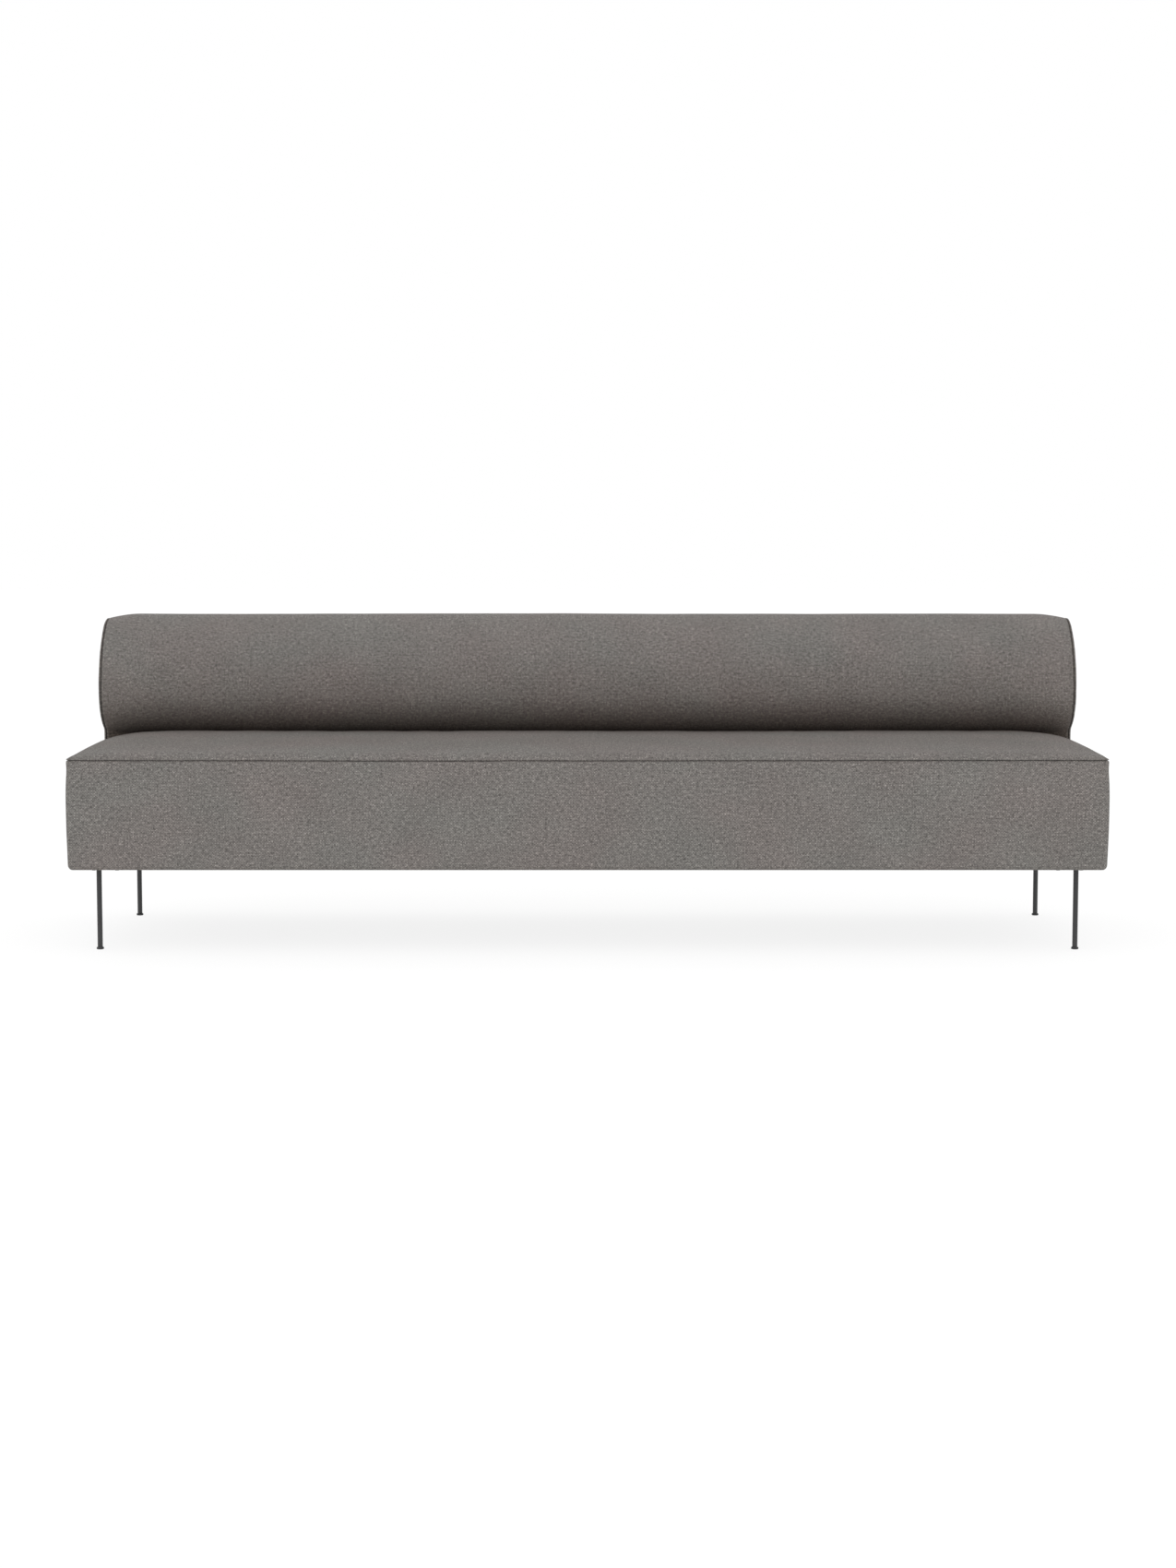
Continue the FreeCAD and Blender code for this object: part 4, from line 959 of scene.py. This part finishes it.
screw = {"length": 0.030, "cross": 0.0034, "slot": 0.00152, "armWidth": 0.3, "deep": 0.00091, "rise": 0.0026,
         "loops": [(0.00198, 0.026), (0.0022, 0.023), (0.0022, 0.0), (0.006014, 0.0), (0.0062, -0.00078),
                   (0.005766, -0.00182), (0.004836, -0.00247), (0.003844, -0.0026)],
         "reach": 0.027, "under": 0.189, "sides": 24, "turn": 1.5, "seed": 11}


def screwForm():
    # a pan head that faces down, with a cross recess, and a pointed shank that goes up into the block
    sides = screw["sides"]
    shape = bmesh.new()

    def ring(radii, z):
        return [shape.verts.new((radius * c, radius * s, z)) for radius, (c, s) in zip(radii, around(sides))]

    arms = [screw["cross"] if min(abs(c), abs(s)) < screw["armWidth"] else screw["slot"] for c, s in around(sides)]
    tip = shape.verts.new((0, 0, screw["length"]))
    loops = [ring([radius] * sides, z) for radius, z in screw["loops"]]
    loops += [ring(arms, -screw["rise"]), ring([arm * 0.8 for arm in arms], -screw["deep"])]
    for k in range(sides):
        after = (k + 1) % sides
        shape.faces.new((tip, loops[0][after], loops[0][k]))
        for a, b in zip(loops, loops[1:]):
            shape.faces.new((a[k], a[after], b[after], b[k]))
    shape.faces.new(loops[-1])
    return closedUp("screwForm", shape)


def legScrews():
    form = screwForm()
    places = [(sx * sofa["plateX"] + dx * screw["reach"], sy * sofa["plateY"] + dy * screw["reach"], screw["under"])
              for sx in (-1, 1) for sy in (-1, 1) for dx in (-1, 1) for dy in (-1, 1)]
    growth = Growth("screwTree", {
        "Screw": ("Object", form), "Seed": ("Int", screw["seed"]), "Head scale": ("Float", 1.0)})
    path = pathOf("legScrews", places)
    spots = growth.node("GeometryNodeMeshToPoints", sockets={"Mesh": growth.inlet.outputs[0]})
    shape = growth.node("GeometryNodeObjectInfo", sockets={"Object": growth.given("Screw")}, out="Geometry")
    placed = growth.placed(spots, shape, growth.turn(0, screw["turn"]), growth.given("Head scale"))
    piece = growth.grow("legScrews", path, placed, screwFinish)
    bpy.data.objects.remove(form)
    return piece


legScrewHeads = legScrews()
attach(legScrewHeads, "sofa")
print("screws driven")


# weld beads round the rods, glides and threaded studs; the glide's outline is (radius, height)

leg = {"x": 1.137, "y": 0.282, "rod": 0.006, "plate": 0.189}
bead = {"width": 0.0034, "ripples": 26, "height": 0.00025, "sink": 0.0001, "root": 0.0006, "sides": 78}
glide = {"outline": [(0, 0.0003), (0.0062, 0.0), (0.0075, 0.0002), (0.0082, 0.0008), (0.0085, 0.0017),
                     (0.0085, 0.0036), (0.0083, 0.0044), (0.0078, 0.0050), (0.0070, 0.0054),
                     (0.0062, 0.0057), (0.0060, 0.0060), (0, 0.0060)], "sides": 48}
stud = {"root": 0.00245, "crest": 0.0030, "pitch": 0.001, "low": 0.006, "high": 0.026, "sides": 20, "perTurn": 4,
        "chamfer": 0.001}


def lathed(name, x, y, sides, rows):
    # rows of radii and heights, one pair for each place round the axis, sewn into a closed piece
    points = [[(x + radius * c, y + radius * s, z) for (radius, z), (c, s) in zip(row, around(sides, 1))]
              for row in rows]
    cloth = [[(k / sides, r) for k in range(sides + 1)] for r in range(len(rows))]
    return sewn(name, [(points, cloth)], 1e-6)


def weldBead(name, x, y):
    rows = []
    for turn in range(0, 100, 10):
        angle = math.radians(turn)
        row = []
        for k in range(bead["sides"] + 1):
            wave = bead["height"] * math.sin(math.tau * k / bead["sides"] * bead["ripples"]) * math.sin(2 * angle)
            row.append((bead["width"] * (1 - math.sin(angle)) + leg["rod"] - bead["sink"] + wave,
                        leg["plate"] - bead["width"] * (1 - math.cos(angle)) + bead["sink"] - wave))
        rows.append(row)
    rows.append([(leg["rod"] - bead["root"], leg["plate"] + bead["root"])] * (bead["sides"] + 1))
    return lathed(name, x, y, bead["sides"], rows + rows[:1])


def threadedStud(name, x, y):
    low, high, sides = stud["low"], stud["high"], stud["sides"]
    rows = [[(0, low)] * (sides + 1)]
    for z in spread(low, high, int((high - low) / stud["pitch"] * stud["perTurn"])):
        depth = (stud["crest"] - stud["root"]) * smooth(0, stud["chamfer"], high - z)
        phases = [(z / stud["pitch"] - k / sides) % 1 for k in range(sides + 1)]
        rows.append([(stud["root"] + depth * (1 - abs(2 * phase - 1)), z) for phase in phases])
    rows.append([(0, high)] * (sides + 1))
    return lathed(name, x, y, sides, rows)


legCorners = (("front_left", -1, -1), ("front_right", 1, -1), ("rear_left", -1, 1), ("rear_right", 1, 1))
for corner, sideX, sideY in legCorners:
    x, y = sideX * leg["x"], sideY * leg["y"]
    dressed(weldBead("weldBead_" + corner, x, y), "leg_powder_coat")
    outline = [[place] * (glide["sides"] + 1) for place in glide["outline"]]
    foot = lathed("glideDisc_" + corner, x, y, glide["sides"], outline)
    dressed(foot, "glide_nylon", corner + "_glide")
    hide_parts("glide_" + corner)
    bolt = threadedStud("glideThread_" + corner, x, y)
    dressed(bolt, "zinc_steel", corner + "_glide")
    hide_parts("glide_stud_" + corner)
print("legs dressed")


# floor, world and soft studio light

studio = {"floor": 40.0, "world": 1.0, "key": 24.0, "keyPlace": (-1.2, -5.5, 4.6), "keySize": 6.0,
          "top": 6.0, "topPlace": (0, -0.5, 5.5), "topSize": 7.0, "aim": (0, 0, 0.4), "glow": 0.84}
floorMesh = bpy.data.meshes.new("floor")
wide = studio["floor"]
floorMesh.from_pydata([(-wide, -wide, 0), (wide, -wide, 0), (wide, wide, 0), (-wide, wide, 0)], [], [(0, 1, 2, 3)])
floor = asObject("floor", floorMesh)
pale = Finish("paleFloor")
mottle = pale.cloud(pale.place(), 0.8)
coat(floor, pale.done(Base_Color=pale.blend(mottle, (0.185, 0.185, 0.185, 1), (0.195, 0.195, 0.195, 1)),
                      Roughness=0.9, Specular_IOR_Level=0.0, Emission_Color=(1, 1, 1, 1),
                      Emission_Strength=studio["glow"]))
world = bpy.data.worlds.new("studio")
world.use_nodes = True
backdrop = world.node_tree.nodes["Background"].inputs
backdrop["Color"].default_value = (1, 1, 1, 1)
backdrop["Strength"].default_value = studio["world"]
bpy.context.scene.world = world


def softBox(name, power, place, width):
    light = bpy.data.lights.new(name, "AREA")
    light.energy, light.size = power, width
    lamp = bpy.data.objects.new(name, light)
    lamp.location = place
    lamp.rotation_euler = (Vector(studio["aim"]) - Vector(place)).to_track_quat("-Z", "Y").to_euler()
    bpy.context.scene.collection.objects.link(lamp)


softBox("keyLight", studio["key"], studio["keyPlace"], studio["keySize"])
softBox("topLight", studio["top"], studio["topPlace"], studio["topSize"])
bpy.context.scene.view_settings.view_transform = "Standard"
bpy.context.scene.view_settings.look = "None"
print("studio lit")
